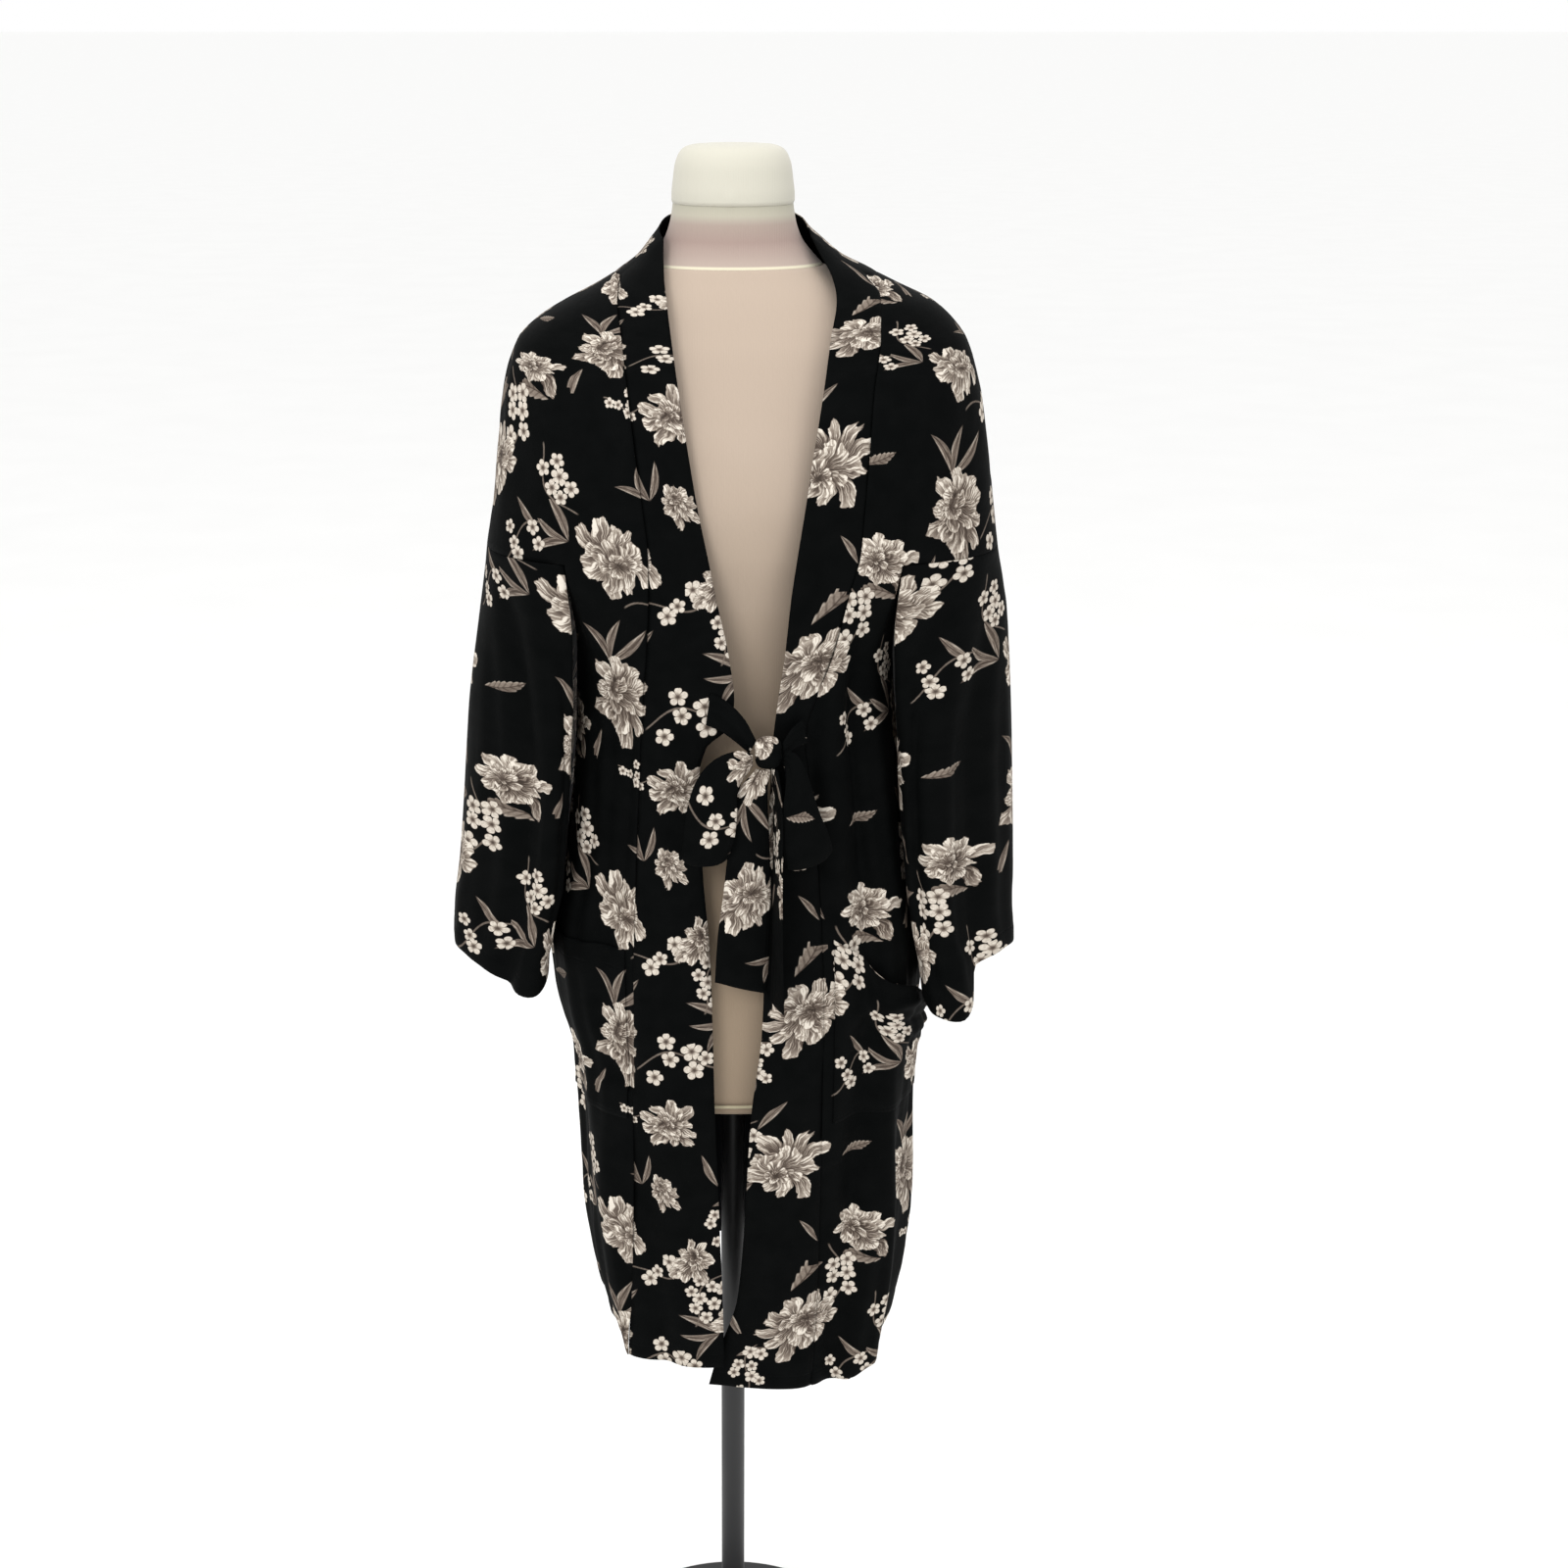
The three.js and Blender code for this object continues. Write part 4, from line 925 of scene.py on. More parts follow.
def leaves(add):
    """Leaves: a fan of blades from one stem, some plain and some feathered."""
    x, y, code = add(SPLIT, add(SPRAY, take="Vector"), take=EACH)
    code = add(NEAREST, add(TIMES, code, 10.0))
    feathered = add(WHOLE, add(TIMES_PLUS, code, 0.1, 0.02))
    far = distance(add, x, y)
    angle = add(TURN, y, x)
    blade = add(WHOLE, add(TIMES_PLUS, angle, 1.45, 0.5))
    chance = add(FLAT_CHANCE, add(JOINED, blade, code, 0.0), take="Color")
    chance = add(SPLIT, chance, take=EACH)
    turn = add(PLUS, add(TIMES_PLUS, blade, -0.6897, angle), add(TIMES_PLUS, chance[2], 0.3, -0.15))
    long = add(TIMES_PLUS, chance[0], 0.45, 0.55)
    along = add(OVER, add(TIMES, far, add(COSINE, turn)), long)
    aside = add(OVER, add(TIMES, far, add(SINE, turn)), long)
    sway = add(TIMES_PLUS, along, along, add(TIMES, along, -1.0))
    aside = add(PLUS, aside, add(TIMES, sway, add(TIMES_PLUS, chance[1], 1.0, -0.5)))
    beside = add(SIZE, aside)
    inside = add(MOST, along, 0.0)
    past = add(MOST, add(MINUS, 1.0, inside), 0.0)
    width = add(TIMES, add(POWER, inside, 0.85), past)
    width = add(TIMES, width, add(TIMES_PLUS, feathered, 0.22, 0.36))
    teeth = add(SINE, add(TIMES_PLUS, beside, -46.0, add(TIMES, along, 46.0)))
    toothed = add(TIMES, teeth, add(TIMES, feathered, 0.1))
    width = add(TIMES, width, add(PLUS, toothed, 1.0))
    within = add(MINUS, width, beside)
    fan = add(TIMES_PLUS, add(WRAPPED, code, 10.0), 0.2, 0.6)
    shown = add(EVEN, add(MINUS, fan, add(SIZE, blade)), 0.0, 0.01, 0.0, 1.0)
    mask = add(TIMES, add(SOFT, within, 0.0, 0.022, 0.0, 1.0), shown)
    rib = add(SOFT, beside, 0.003, 0.02, 0.5, 1.0)
    edge = add(SOFT, within, 0.06, 0.01, 0.48, 0.66)
    grain = add(JOINED, add(TIMES, along, 2.0), add(TIMES, aside, 26.0), blade)
    fibre = add(SOFT, add(NOISE, grain, Scale=1.6, Detail=2.0), 0.35, 0.65, 0.62, 1.15)
    vein = add(SOFT, teeth, -1.0, 0.0, 0.66, 1.0)
    vein = add(EVEN, feathered, 0.0, 1.0, fibre, vein)
    shade = add(TIMES, add(TIMES, rib, edge), vein)
    return mask, add(TIMES, shade, add(SOFT, aside, -0.02, 0.02, 0.78, 1.0))


def viscose_print(add):
    """Ink of the print: how much of it there is, and its tone from 0 dark to 1 light."""
    ink, tone = leaves(add)
    for over, shade in (blossoms(add), open_flowers(add)):
        tone = add(EVEN, over, 0.0, 1.0, tone, shade)
        ink = add(MOST, ink, over)
    return ink, tone


def viscose(name, printed):
    """Viscose challis: a limp plain weave of matt thread, discharge printed on its face."""
    material, add = new_material(name)
    grain = add(GRAIN, take="Vector")
    dust = add(NOISE, grain, Scale=0.045, Detail=3.0)
    if printed:
        ground = add(RAMP, dust, stops=[(0.3, "#030404"), (0.7, "#060707")])
        ink, tone = viscose_print(add)
        speck = add(NOISE, grain, Scale=0.6, Detail=2.0)
        tone = add(TIMES, tone, add(TIMES_PLUS, speck, 0.5, 0.75))
        colour = add(RAMP, tone, stops=[
            (0.0, "#1f1a17"), (0.25, "#4d433c"), (0.5, "#7a6f65"), (0.75, "#a59b8f"), (1.0, "#d3cbbf"),
        ])
        # A mix of colours has its two colours at inputs 6 and 7
        shown = add(MIXED, ink, *[None] * 5, ground, colour, take=2)
    else:
        shown = add(RAMP, dust, stops=[(0.3, "#070809"), (0.7, "#0d0e10")])
    # Threads lie 0.3 mm apart; they are drawn at 1.6 mm so that the weave can be seen at all
    uv = add(SPLIT, grain, take=EACH)
    warp, weft = [add(SINE, add(TIMES, uv[i], 3.9)) for i in (0, 1)]
    crush = add(NOISE, grain, Scale=0.11, Detail=4.0)
    height = add(TIMES_PLUS, add(TIMES, warp, weft), 0.06, crush)
    line = add(SPLIT, add(STITCH, take="Vector"), take=EACH)
    near = add(LEAST, add(SIZE, line[0]), add(SIZE, line[1]))
    sewn = add(SOFT, near, 1.3, 0.3, 0.0, 1.0)
    dash = add(SOFT, add(SINE, add(TIMES, line[2], 2.1)), -0.6, 0.0, 0.4, 1.0)
    height = add(TIMES_PLUS, add(TIMES, sewn, dash), -1.2, height)
    bump = add(BUMP, Strength=0.35, Distance=0.0012, Height=height)
    add(SURFACE, add(SHADER, shown, Roughness=0.72, Specular_IOR_Level=0.03, Sheen_Weight=0.004,
                     Sheen_Roughness=0.4, Normal=bump))
    return material


def form_cover(name, rough, stops, by_height=False):
    """Cotton jersey drawn over padding: matt, faintly ribbed, and darker and browner lower down, which
    is painted shade.
    """
    material, add = new_material(name)
    where = add(PLACE, take="Object")
    rise = add(SPLIT, where, take=2)
    if by_height:
        first, last = stops[0][0], stops[-1][0]
        tone = add(EVEN, rise, first, last, 0.0, 1.0)
        stops = [((z - first) / (last - first), code) for z, code in stops]
    else:
        cloud = add(NOISE, where, Scale=9.0, Detail=3.0)
        # Painted shade: the colour darkens from 1.4 m down to 0.95 m, under a faint random cloud
        tone = add(TIMES_PLUS, cloud, 0.3, add(SOFT, rise, 0.95, 1.4, 0.0, 0.85))
    tint = add(RAMP, tone, stops=stops)
    # Knit wales lie 0.6 mm apart; they are drawn at 2 mm so that they can be seen
    rib = add(KNIT, where, Scale=150.0, Distortion=1.5, Detail=2.0)
    bump = add(BUMP, Strength=0.12, Distance=0.0006, Height=rib)
    add(SURFACE, add(SHADER, tint, Roughness=rough, Specular_IOR_Level=0.3, Sheen_Weight=0.15,
                     Normal=bump))
    return material


def coated_steel():
    """Powder-coated steel: black, half matt, with the fine orange peel of baked powder."""
    material, add = new_material("powder_coated_steel")
    where = add(PLACE, take="Object")
    peel = add(NOISE, where, Scale=420.0, Detail=2.0)
    wear = add(NOISE, where, Scale=14.0, Detail=5.0)
    tint = add(RAMP, wear, stops=[(0.35, "#08080a"), (0.75, "#141416")])
    gloss = add(EVEN, wear, 0.3, 0.7, 0.38, 0.52)
    bump = add(BUMP, Strength=0.15, Distance=0.0004, Height=peel)
    add(SURFACE, add(SHADER, tint, Roughness=gloss, Normal=bump))
    return material


def matt_paper():
    """Uncoated white paper: matt, and a shade uneven."""
    material, add = new_material("matt_paper_sweep")
    where = add(PLACE, take="Object")
    fleck = add(NOISE, where, Scale=3.0)
    tint = add(RAMP, fleck, stops=[(0.3, "#f9f9f8"), (0.7, "#fbfbfa")])
    add(SURFACE, add(SHADER, tint, Roughness=0.95))
    return material


# Tones of the neck by height in metres: paler under the cap, darker and rosier in the middle
# with painted shade, and the pale seam tape at its foot
NECK_TONES_AND_SHADE = [
    (1.465, "#a89889"), (1.4762, "#a89889"), (1.477, "#c9c2ab"), (1.4795, "#c9c2ab"),
    (1.4803, "#a3948a"), (1.500, "#95827a"), (1.514, "#9c8d83"), (1.522, "#aca798"), (1.531, "#a7a494"),
]
PRINTED_VISCOSE = viscose("printed_viscose_challis", True)
VISCOSE_BACK = viscose("viscose_challis_back", False)
# The torso cover darkens towards its foot with painted shade
JERSEY = form_cover("cotton_jersey_cover", 0.85, [(0.1, "#8c7b67"), (0.95, "#a89889")])
NECK_JERSEY_AND_SHADE = form_cover("cotton_jersey_neck_and_painted_shade", 0.85, NECK_TONES_AND_SHADE, by_height=True)
CAP_JERSEY = form_cover("cotton_jersey_cap", 0.7, [(0.1, "#b1ae9f"), (0.95, "#bab7aa")])
PIPING = form_cover("cotton_piping_cord", 0.8, [(0.1, "#a59c82"), (0.95, "#aea58b")])
STEEL = coated_steel()
PAPER = matt_paper()

# The coat


# Where the ripples of each cut piece start
FRONT_SEED, BACK_SEED, BAND_SEED, SLEEVE_SEED = 11, 31, 51, 71


def ripples(seed, u, v, much=1.0):
    """Long slow waves, shorter ones across them and small slanting creases."""
    slow = wavy(seed, u + 0.12 * v, v, 31, 260)
    quick = wavy(seed + 1, u - 0.08 * v, v, 15, 120)
    crease = wavy(seed + 2, u + 0.5 * v, v - 0.3 * u, 24, 15)
    return much * (1.7 * slow + 0.9 * quick + 0.35 * crease)


def upright(at):
    """The point of the coat's upright middle line that is level with a point."""
    return Vector((0, 0, at.z))


NOT_SEWN = 99.0           # far from any stitching


def hem_fold(z, foot, deep, thick):
    """Height above the hem's stitching, and what the turned-up cloth below it adds."""
    above = z - foot - deep
    return above, np.where(above < 0, thick, 0)


def arm_calm(c, z):
    """Ripples die away where the sleeve is sewn on."""
    over_arm = ease((1 - np.abs(c - 2)) / 0.3)
    return ease((1455 - z) / 120) * mix(1, ease((z - ARMHOLE_Z) / 50), over_arm)


def yoke_point(side, c, r):
    """A point of the yoke, whose neckline dips behind."""
    z = yoke_level(r)
    turn = turn_of(yoke, side, c, z)
    dip = BACK_NECK_DIP * np.sin(np.radians(np.maximum(turn, 0))) * (1 - r / YOKE_ROWS) ** 2
    return on_ring(yoke, side, turn, z - dip)


def panel_point(side, c, r):
    return body_point(side, c, body_level(side, r, c))


def joined(make, side, c, r):
    """Both halves meet in the middle of the back."""
    point = make(side, c, r)
    if c.max() < MIDDLE_BACK:
        return point
    return np.where((c >= MIDDLE_BACK)[:, None], (point + make(-side, c, r)) / 2, point)


def yoke_place(side, seed, origin):
    """Places a block of the yoke, with its print counted from a turn of the section."""
    def place(c, r):
        z = yoke_level(r)
        u = side * (yoke_grain(side, turn_of(yoke, side, c, z), z) - yoke_grain(side, origin, z))
        v = shoulder_rise(z)
        lift = ripples(seed, u, v, arm_calm(c, z))
        return joined(yoke_point, side, c, r), (u, v), lift, (NOT_SEWN, NOT_SEWN)
    return place


def body_lift(seed, side, turn, u, z):
    """Fine folds and ripples, and the fullness that the arm leaves at the side."""
    much, middle = (4.0, 825) if side > 0 else (0.6, 850)
    fullness = much * np.exp(-(((z - middle) / 50) ** 2) - (turn / 26) ** 2)
    return fold_height(FINE_FOLDS, side, turn, z, 0.3) + ripples(seed, u, z) + fullness


def body_place(side, seed, origin=None):
    """Places a block of the body, with its print counted from a column where one is given."""
    def place(c, r):
        z = body_level(side, r, c)
        start = 0 if origin is None else body_grain(side, c * 0 + origin, z)
        u = side * (body_grain(side, c, z) - start)
        hem_line, fold = hem_fold(z, body_level(side, BODY_ROWS, c), HEM_DEEP, HEM_THICK)
        lift = body_lift(seed, side, turn_of(body, side, c, z), u, z) + fold
        return joined(panel_point, side, c, r), (u, z), lift, (hem_line, NOT_SEWN)
    return place


def build_front(side, charts):
    upper = yoke_place(side, FRONT_SEED + side, -90)
    lower = body_place(side, FRONT_SEED + side)
    blocks = [
        (26, 58, (0, 1, 0, YOKE_ROWS), upper), (26, 58, (1, 2, 0, YOKE_ROWS), upper),
        (26, 190, (0, 1, 0, BODY_ROWS), lower), (24, 190, (1, 2, 0, BODY_ROWS), lower),
    ]
    name = side_name(side)
    return cloth_piece(f"{name}_front", f"front_{name}", blocks, upright, charts)


def build_back(charts):
    blocks = []
    for side in (-1, 1):
        upper = yoke_place(side, BACK_SEED, 90)
        lower = body_place(side, BACK_SEED, MIDDLE_BACK)
        blocks += [
            (20, 50, (2, 3, 0, YOKE_ROWS), upper), (26, 50, (3, 4, 0, YOKE_ROWS), upper),
            (20, 170, (2, 3, 0, BODY_ROWS), lower), (26, 170, (3, 4, 0, BODY_ROWS), lower),
        ]
    return cloth_piece("back_panel", "back", blocks, upright, charts)


def build_band(side, charts):
    name = side_name(side)

    def finish(point, u, v, w, hem_line):
        lift = ripples(BAND_SEED + side, u, v, 0.45)
        # The band is folded double, so its edge is full and its seam is drawn in
        lift = lift + 1.1 * np.sin(np.pi * np.clip(w * 1.02, 0, 1)) ** 0.6 - 0.6 * (1 - ease(w * 9))
        return point, (u, v), lift, (NOT_SEWN, hem_line)

    def lower(w, r):
        z = body_level(side, r, -w)
        grain = side * (body_grain(side, -w, z) - body_grain(side, 0 * w, z))
        hem_line = z - body_level(side, BODY_ROWS, -w) - HEM_DEEP
        return finish(body_point(side, -w, z), grain, z, w, hem_line)

    def upper(w, r):
        z = yoke_level(r)
        seam_turn = turn_of(yoke, side, 0 * w, z)
        edge_z = np.where(z < COLLAR_RISE["z"][0], z, collar_rise(z))
        edge_turn = turn_at(ring(yoke, side, edge_z), side, opening[name + "_edge"](edge_z))
        turn, level = mix(seam_turn, edge_turn, w), mix(z, edge_z, w)
        grain = side * (yoke_grain(side, turn, level) - yoke_grain(side, seam_turn, z))
        return finish(on_ring(yoke, side, turn, level), grain, shoulder_rise(z), w, NOT_SEWN)

    def neck(w, r):
        first = turn_of(yoke, side, 0.0, float(NECK_POINT_Z))
        turn = mix(first, 90, r)
        z = NECK_POINT_Z - BACK_NECK_DIP * np.sin(np.radians(np.clip(turn, 0, 90)))
        top_z = COLLAR_RISE["height"][-1]
        top_turn = turn_at(ring(yoke, side, top_z), side, opening[name + "_edge"](top_z))
        behind_turn, behind_z = COLLAR_BACK["edge"][0], COLLAR_BACK["height"][0]
        before = np.clip((turn - first) / (0 - first), 0, 1)
        edge_turn = np.where(turn < 0, mix(top_turn, behind_turn, before), collar_back["edge"](turn))
        edge_z = np.where(turn < 0, mix(top_z, behind_z, before), collar_back["height"](turn))
        at, level = mix(turn, edge_turn, w), mix(z, edge_z, w)
        point = on_ring(yoke, side, at, level)
        other = on_ring(yoke, -side, at, level)
        point = np.where((r > 0.999)[:, None], (point + other) / 2, point)
        along = shoulder_rise(NECK_POINT_Z) + 1.6 * (turn - first)
        return finish(point, -side * BAND_WIDE_BEHIND * w, along, w, NOT_SEWN)

    blocks = [
        (14, 190, (1, 0, 0, BODY_ROWS), lower), (14, 60, (1, 0, 0, YOKE_ROWS), upper),
        (14, 40, (1, 0, 0, 1), neck),
    ]
    return cloth_piece(f"{name}_band", f"band_{name}", blocks, upright, charts)


def sleeve_ring(side, turn, z):
    name = side_name(side)
    c = np.cos(np.radians(turn))
    s = np.sin(np.radians(turn))
    half, deep, lean = sleeve[name + "_half"](z), sleeve["deep"](z), sleeve["lean"](z)
    out = fold_height(SLEEVE_FOLDS, side, turn, z)
    n = np.hypot(c / half, s / deep)
    x = sleeve[name + "_x"](z) + half * c - lean * s * s + out * c / half / n
    y = -deep * s - out * s / deep / n
    return np.stack([side * x, y, z + 0 * x], -1)


def build_sleeve(side, charts):
    name = side_name(side)

    def place(a, r):
        turn = a * 360
        column = np.interp(turn, ARMHOLE_TURNS, ARMHOLE_COLUMNS)
        above = on_ring(yoke, side, turn_of(yoke, side, column, ARMHOLE_Z), ARMHOLE_Z + 0 * a)
        under = underarm(side, np.clip(column, 1, 3))
        sewn_over = (turn < ARMHOLE_TURNS[1]) | (turn > ARMHOLE_TURNS[3])
        top = np.where(sewn_over[:, None], above, under)
        foot = cuff[name](turn)
        z = mix(float(ARMHOLE_Z), foot, r)
        fade = 1 - ease((ARMHOLE_Z - z) / SLEEVE_FADE)
        shift = top - sleeve_ring(side, turn, ARMHOLE_Z + 0 * a)
        point = sleeve_ring(side, turn, z) + shift * fade[:, None]
        inner = np.clip(-np.cos(np.radians(turn)) + 0.35, 0, None)
        point[:, 0] += side * 2.9 * np.minimum(1, inner * 1.6) * fade
        # Drawn back from the armhole, so that the seam keeps its gap
        point[:, 2] -= SEAM * (1 - ease(r * 30))
        # The print runs over the arm and breaks at the underarm seam
        u = side * (233 - 1.08 * np.where(turn > 180, turn - 360, turn))
        calm = ease(np.minimum(turn, 360 - turn) / 14)
        lift = ripples(SLEEVE_SEED + side, turn * 0.94, z, 1.1) * calm
        lift = (lift + fold_height(FINE_SLEEVE_FOLDS, side, turn, z, 0.3)) * ease(r * 7)
        hem_line, fold = hem_fold(z, foot, CUFF_HEM_DEEP, CUFF_HEM_THICK)
        return point, (u, z), lift + fold, (hem_line, NOT_SEWN)

    middle = sleeve[name + "_x"]

    def axis(at):
        z = at.z * 1000
        return Vector((side * (float(middle(z)) - 18) * MM, 0, at.z))

    blocks = [(96, 96, (0, 1, 0, 1), place)]
    return cloth_piece(f"{name}_sleeve", f"sleeve_{name}", blocks, axis, charts)


def surface_normal(make, side, c, r):
    step = 0.02
    across_way = make(side, c + step, r) - make(side, c - step, r)
    down_way = make(side, c, r + step) - make(side, c, r - step)
    normal = np.cross(across_way, down_way)
    normal /= np.linalg.norm(normal, axis=-1, keepdims=True)
    point = make(side, c, r)
    outward = np.sign((normal[:, :2] * point[:, :2]).sum(-1))
    return normal * outward[:, None]


def build_pocket(side, charts):
    name = side_name(side)
    first, last, bulge, sag = POCKETS[side]

    def place(a, b):
        c, r = mix(first, last, a), mix(11.0, 16.0, b)
        point = panel_point(side, c, r)
        normal = surface_normal(panel_point, side, c, r)
        down = 1 - b
        wide = 0.35 * np.sin(np.pi * a) + 0.8 * a ** 1.5
        out = CLOTH + SEAM + bulge * wide * down
        z = body_level(side, r, c)
        turn = turn_of(body, side, c, z)
        u = side * body_grain(side, c, z)
        out = out + body_lift(FRONT_SEED + side, side, turn, u, z)
        if side > 0:
            for k, deep in SWAGS:
                off = (b - k - 0.5 * (1 - a) ** 1.5) / 0.06
                out = out + deep * np.exp(-off * off) * ease(a * 4) * down
        point = point + normal * out[:, None]
        # The mouth slants: its inner corner perks up a little and its outer one sinks
        slant = np.clip(a / 0.95, 0, 1) ** 1.05 - 0.16 * (1 - a)
        point[:, 2] -= sag * slant * down ** 1.25
        sides = np.minimum(np.minimum(a, 1 - a) * POCKET_WIDE, (1 - b) * POCKET_TALL) - 3
        return point, (u, z), 0, (sides, b * POCKET_TALL - POCKET_HEM_DEEP)

    blocks = [(40, 44, (0, 1, 0, 1), place)]
    return cloth_piece(f"{name}_pocket", f"pocket_{name}", blocks, upright, charts)


def build_strip(name, node, rows, charts, both_ends=True):
    """A strip of a tie, gathered where it leaves the knot."""
    path = curves({**rows, "i": np.arange(len(rows["x"]), dtype=float)}, "i")
    last = len(rows["x"]) - 1.0
    lowest = np.argmin(rows["z"])
    looped = lowest < last
    steps = np.linspace(0, last, 200)
    line = np.stack([path[k](steps) for k in "xyz"], -1)
    run = np.concatenate([[0], np.cumsum(np.linalg.norm(np.diff(line, axis=0), axis=1))])

    def place(w, i):
        wide = path["wide"](i)
        turn, roll = np.radians(path["turn"](i)), np.radians(path["roll"](i))
        far = np.interp(i, steps, run)
        gather = np.exp(-far / GATHER_REACH)
        if both_ends:
            gather = np.maximum(gather, np.exp(-(run[-1] - far) / GATHER_REACH))
        # Gathers near the knot die out into a soft hollow along the strip
        hollow = (1 - gather) * 0.9 * np.cos(2 * np.pi * w)
        fold = 1.6 * gather * np.cos(w * 5 * np.pi + 0.6) + hollow
        fold = fold + 0.7 * wavy(len(name), w * 40, far, 12, 34) * (1 - gather)
        middle = 1.2 * np.clip((0.5 - np.abs(w)) / 0.33, 0, 1)
        # Where a loop turns at its foot, its corners round off
        corner = 7 * np.exp(-((i - lowest) / 1.3) ** 2) * np.abs(2 * w) ** 3 * looped
        point = np.stack([
            path["x"](i) + w * (wide - 0.5 * corner) * np.cos(turn) * np.cos(roll),
            path["y"](i) + w * wide * np.sin(turn) - middle - 0.5 * fold,
            path["z"](i) + w * wide * np.sin(roll) + corner,
        ], -1)
        # Its hems show only where it has spread out
        edge = np.where(wide > 18, (0.5 - np.abs(w)) * wide - 2.5, NOT_SEWN)
        return point, (w * TIE_WIDE, far), 0, (edge, NOT_SEWN)

    def behind(at):
        return at + Vector((0, 0.01, 0))

    blocks = [(12, max(16, int(run[-1] / 3.5)), (-0.5, 0.5, 0, last), place)]
    return cloth_piece(name, node, blocks, behind, charts, TIE_WALL)


def build_knot(charts):
    """The knot: one wrap of the strap drawn tight round the crossing of the others."""
    bm, (grain, stitch) = cloth_mesh()
    bmesh.ops.create_icosphere(bm, subdivisions=5, radius=1)
    for vert in bm.verts:
        x, y, z = vert.co
        px, py, pz = (math.copysign(abs(v) ** 0.75, v) for v in (x, y, z))
        slant = math.sin(7.5 * (px * 0.9 + 0.35 * pz) + 0.6) * (1 - abs(pz) ** 3)
        waist = 1 - 0.1 * math.exp(-((pz - 0.1) / 0.35) ** 2)
        size = waist + 0.045 * slant
        vert.co = Vector((31 + px * 12.5 * size, -138.5 + py * 9.2 * size, 1066 + pz * 14.6)) * MM
        vert[grain] = (px * 22 + py * 6, pz * 24, 0)
        vert[stitch] = (NOT_SEWN, NOT_SEWN, 0)
    piece = model_piece(bm, "knot_wrap", "bow_knot", "coat_cloth", PRINTED_VISCOSE)
    chart_print(piece.data, charts)


# The dress form and its stand


def flatten_ends(piece):
    for face in piece.data.polygons:
        face.use_smooth = len(face.vertices) < 6


def ring_tube(name, node, rows, steps_up, steps_round, material, swell=None):
    """A closed body through rings, with its ends filled."""
    read = curves(rows)
    low, high = rows["z"].min(), rows["z"].max()
    bm = bmesh.new()
    verts, from_left, from_foot = unit_grid(bm, steps_round, steps_up)
    turn = from_left * 360
    # Levels are halfway between even ones and the table's, which are close where it curves most
    z = np.interp(from_foot, np.linspace(0, 1, len(rows["z"])), np.sort(rows["z"]))
    z = np.clip(mix(z, mix(low, high, from_foot), 0.5), low, high)
    r = ring(read, 1, z)
    x, y = ring_point(r, 1, turn)
    if swell is not None:
        nx, ny = ring_normal(r, 1, turn)
        out = swell(turn, z)
        x, y = x + nx * out, y + ny * out
    for i, vert in enumerate(verts):
        vert.co = Vector((x[i], y[i], z[i])) * MM
    bmesh.ops.remove_doubles(bm, verts=bm.verts, dist=0.00001)
    bmesh.ops.holes_fill(bm, edges=[e for e in bm.edges if e.is_boundary], sides=0)
    bmesh.ops.recalc_face_normals(bm, faces=bm.faces)
    piece = model_piece(bm, name, node, "form_cover", material)
    flatten_ends(piece)


def build_form():
    def torso_swell(turn, z):
        # A little uneven over the padding, and drawn in by the tape above the rim
        tape = np.exp(-((z - SEAM_TAPE_Z) / 2.2) ** 2)
        return 0.25 * wavy(5, turn * 2.2, z, 60, 90) - 0.5 * tape

    def cap_swell(turn, z):
        # The tuck that ends the cap's hem in front
        return 0.9 * np.exp(-((turn - 268) / 3) ** 2) * np.exp(-((z - 1535) / 6) ** 2)

    ring_tube("form_torso_cover", "form_torso", FORM, 150, 160, JERSEY, torso_swell)
    ring_tube("form_neck_cover", "form_neck", FORM_NECK, 40, 120, NECK_JERSEY_AND_SHADE)
    ring_tube("form_cap_cover", "form_cap", FORM_CAP, 40, 120, CAP_JERSEY, cap_swell)


def build_piping():
    """The twisted cord sewn round the form's rim."""
    r = ring(curves(FORM), 1, PIPING_Z)
    bm = bmesh.new()
    verts, from_left, from_foot = unit_grid(bm, 200, 12)
    turn, a = from_left * 360, from_foot * 2 * np.pi
    x, y = ring_point(r, 1, turn)
    nx, ny = ring_normal(r, 1, turn)
    twist = 1.6 + 0.06 * np.sin(3 * a + turn * 1.2)
    out = 2.4 + twist * np.cos(a)
    for i, vert in enumerate(verts):
        place = (x[i] + nx[i] * out[i], y[i] + ny[i] * out[i], PIPING_Z + twist[i] * math.sin(a[i]))
        vert.co = Vector(place) * MM
    bmesh.ops.remove_doubles(bm, verts=bm.verts, dist=0.00001)
    bmesh.ops.recalc_face_normals(bm, faces=bm.faces)
    model_piece(bm, "form_piping_cord", "form_piping", "form_cover", PIPING)


def turned_steel(name, node, radius, low, high, round_over):
    bm = bmesh.new()
    bmesh.ops.create_cone(bm, cap_ends=True, segments=96, radius1=radius, radius2=radius,
                          depth=high - low)
    bmesh.ops.translate(bm, verts=bm.verts, vec=(0, 0, (low + high) / 2))
    rims = [e for e in bm.edges if abs(e.verts[0].co.z - e.verts[1].co.z) < 0.001]
    bmesh.ops.bevel(bm, geom=rims, offset=round_over, affect="EDGES", segments=3, profile=0.5,
                    material=-1)
    bmesh.ops.scale(bm, verts=bm.verts, vec=(MM, MM, MM))
    flatten_ends(model_piece(bm, name, node, "stand_metal", STEEL))


build_form()
build_piping()
turned_steel("steel_pole", "stand_pole", POLE_R, BASE_THICK + SEAM, RIM_Z - SEAM, 0.3)
turned_steel("steel_base_plate", "stand_base", BASE_R, 0, BASE_THICK, 2.0)

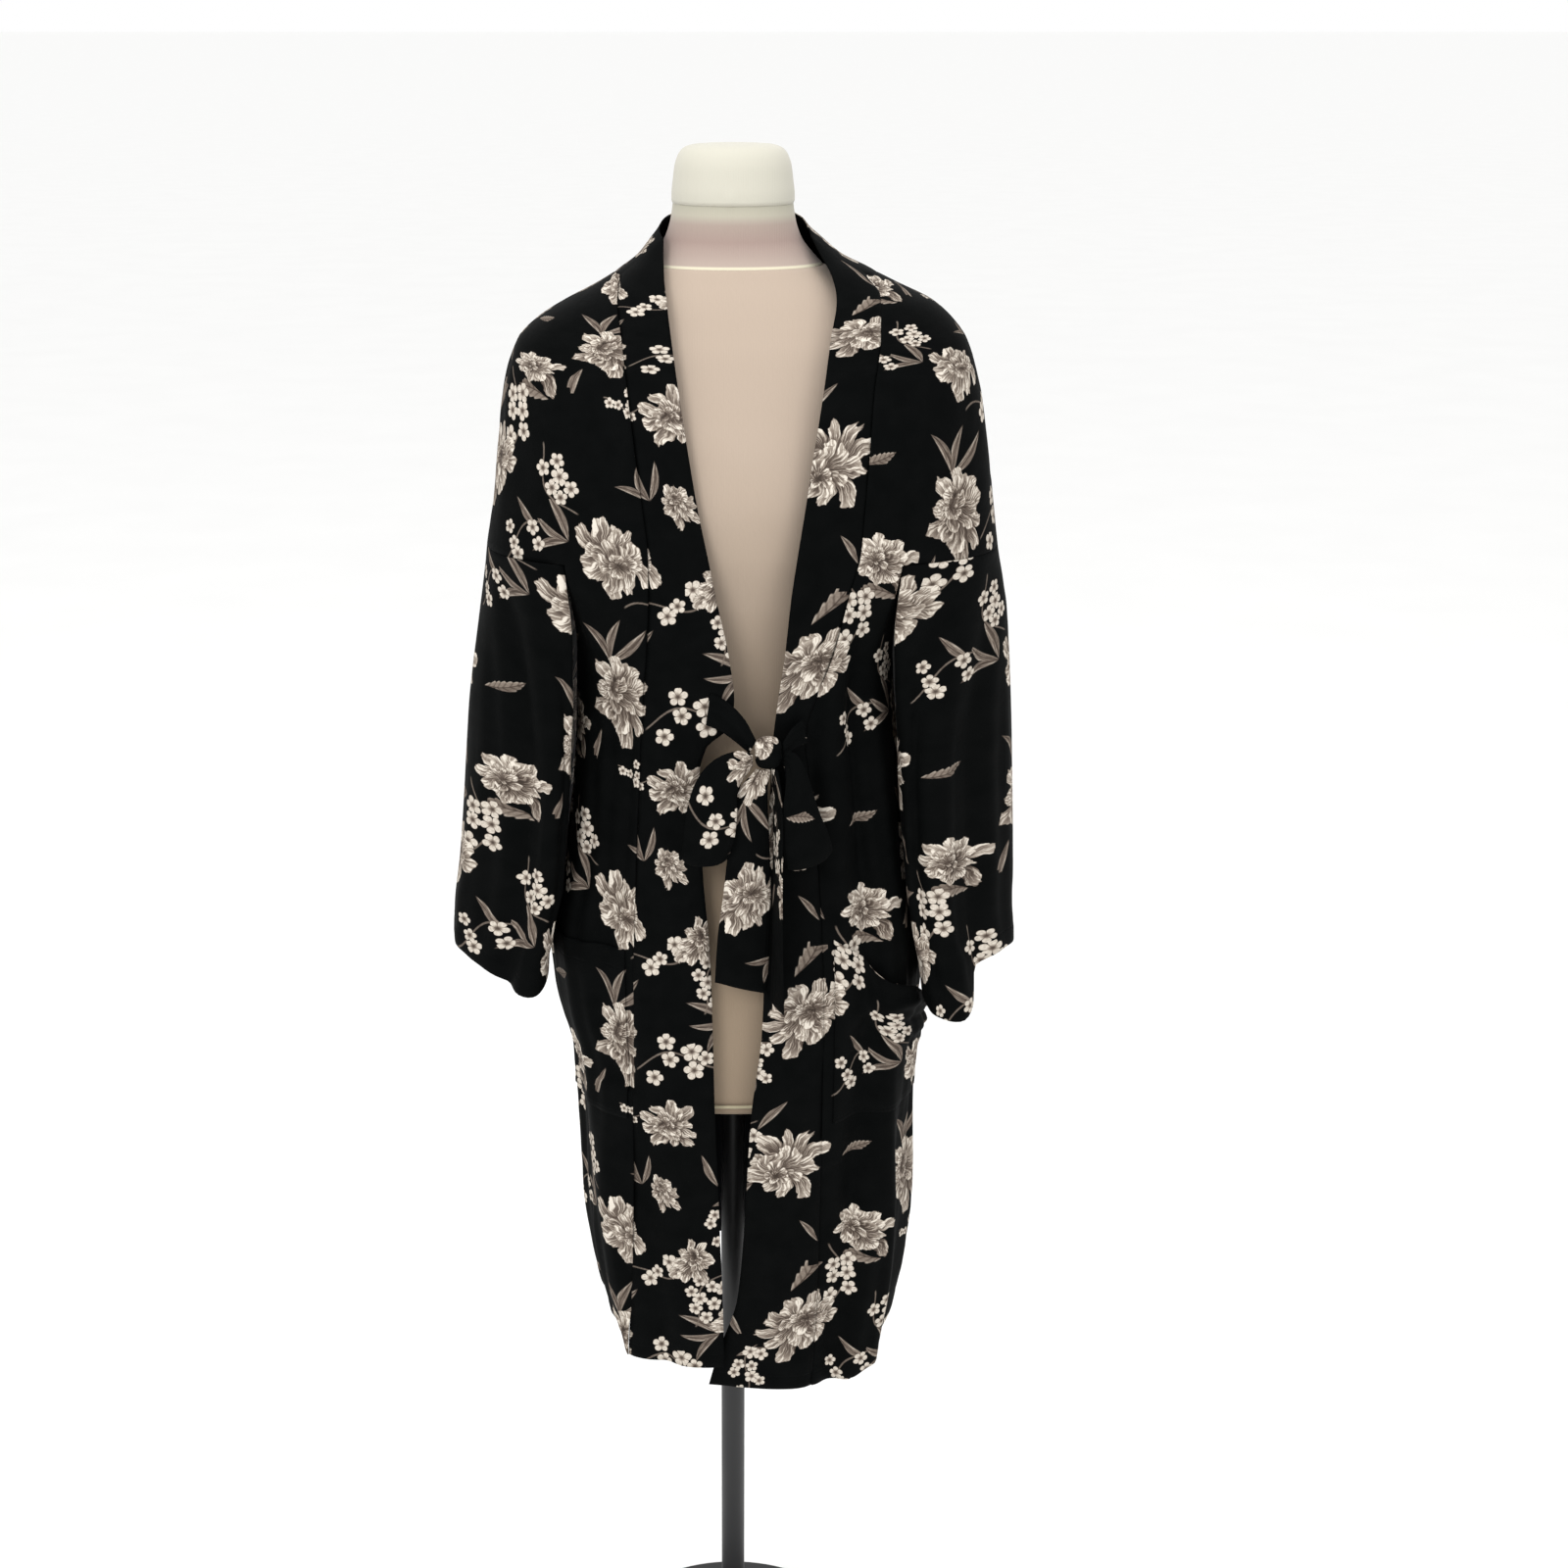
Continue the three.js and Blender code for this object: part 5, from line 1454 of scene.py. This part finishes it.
# Where the repeat of the print starts on each cut piece, across and up
CHARTS = {
    "left": {"front": (134, 184), "band": (216, 184), "sleeve": (140, 132)},
    "right": {"front": (145, 14), "band": (59, 14), "sleeve": (177, 59)},
}
for hand in (-1, 1):
    chart = CHARTS[side_name(hand)]
    build_front(hand, chart["front"])
    build_band(hand, chart["band"])
    build_sleeve(hand, chart["sleeve"])
    build_pocket(hand, chart["front"])
build_back((70, 120))
ties = [
    build_strip("left_tie_strap", "tie_strap_left", TIE_STRAP_LEFT, (0, 0), both_ends=False),
    build_strip("right_tie_strap", "tie_strap_right", TIE_STRAP_RIGHT, (60, 0), both_ends=False),
    build_strip("left_bow_loop", "bow_loop_left", BOW_LOOP_LEFT, (-116, -168)),
    build_strip("right_bow_loop", "bow_loop_right", BOW_LOOP_RIGHT, (20, 90)),
    build_strip("front_tail", "tie_tail_front", TAIL_FRONT, (-62, 78), both_ends=False),
    build_strip("side_tail", "tie_tail_side", TAIL_SIDE, (120, 0), both_ends=False),
]
build_knot((-244, -98))

# The studio


def build_floor():
    """The sheet of paper that the stand is on."""
    bm = bmesh.new()
    bmesh.ops.create_grid(bm, x_segments=2, y_segments=2, size=PAPER_REACH)
    scene_object(bm, "paper_floor", PAPER)


def soft_light(name, at, aim, size, power):
    data = bpy.data.lights.new(name, "AREA")
    data.shape = "RECTANGLE"
    data.size, data.size_y = size
    data.energy = power
    lamp = bpy.data.objects.new(name, data)
    lamp.location = at
    lamp.rotation_euler = (Vector(aim) - Vector(at)).to_track_quat("-Z", "Y").to_euler()
    bpy.context.scene.collection.objects.link(lamp)


build_floor()
soft_light("key_softbox", (-1.6, -2.8, 2.9), (0, 0, 1.1), (1.4, 1.4), 50)
soft_light("fill_softbox", (2.4, -2.4, 2.2), (0, 0, 1.0), (1.6, 1.6), 16)
soft_light("top_softbox", (0, -0.4, 3.4), (0, 0, 1.2), (1.6, 1.6), 22)
world = bpy.data.worlds.new("studio_world")
world.use_nodes = True
sky = world.node_tree.nodes["Background"].inputs
sky["Color"].default_value = (1, 1, 1, 1)
sky["Strength"].default_value = 1.0
bpy.context.scene.world = world
bpy.context.scene.view_settings.view_transform = "Standard"
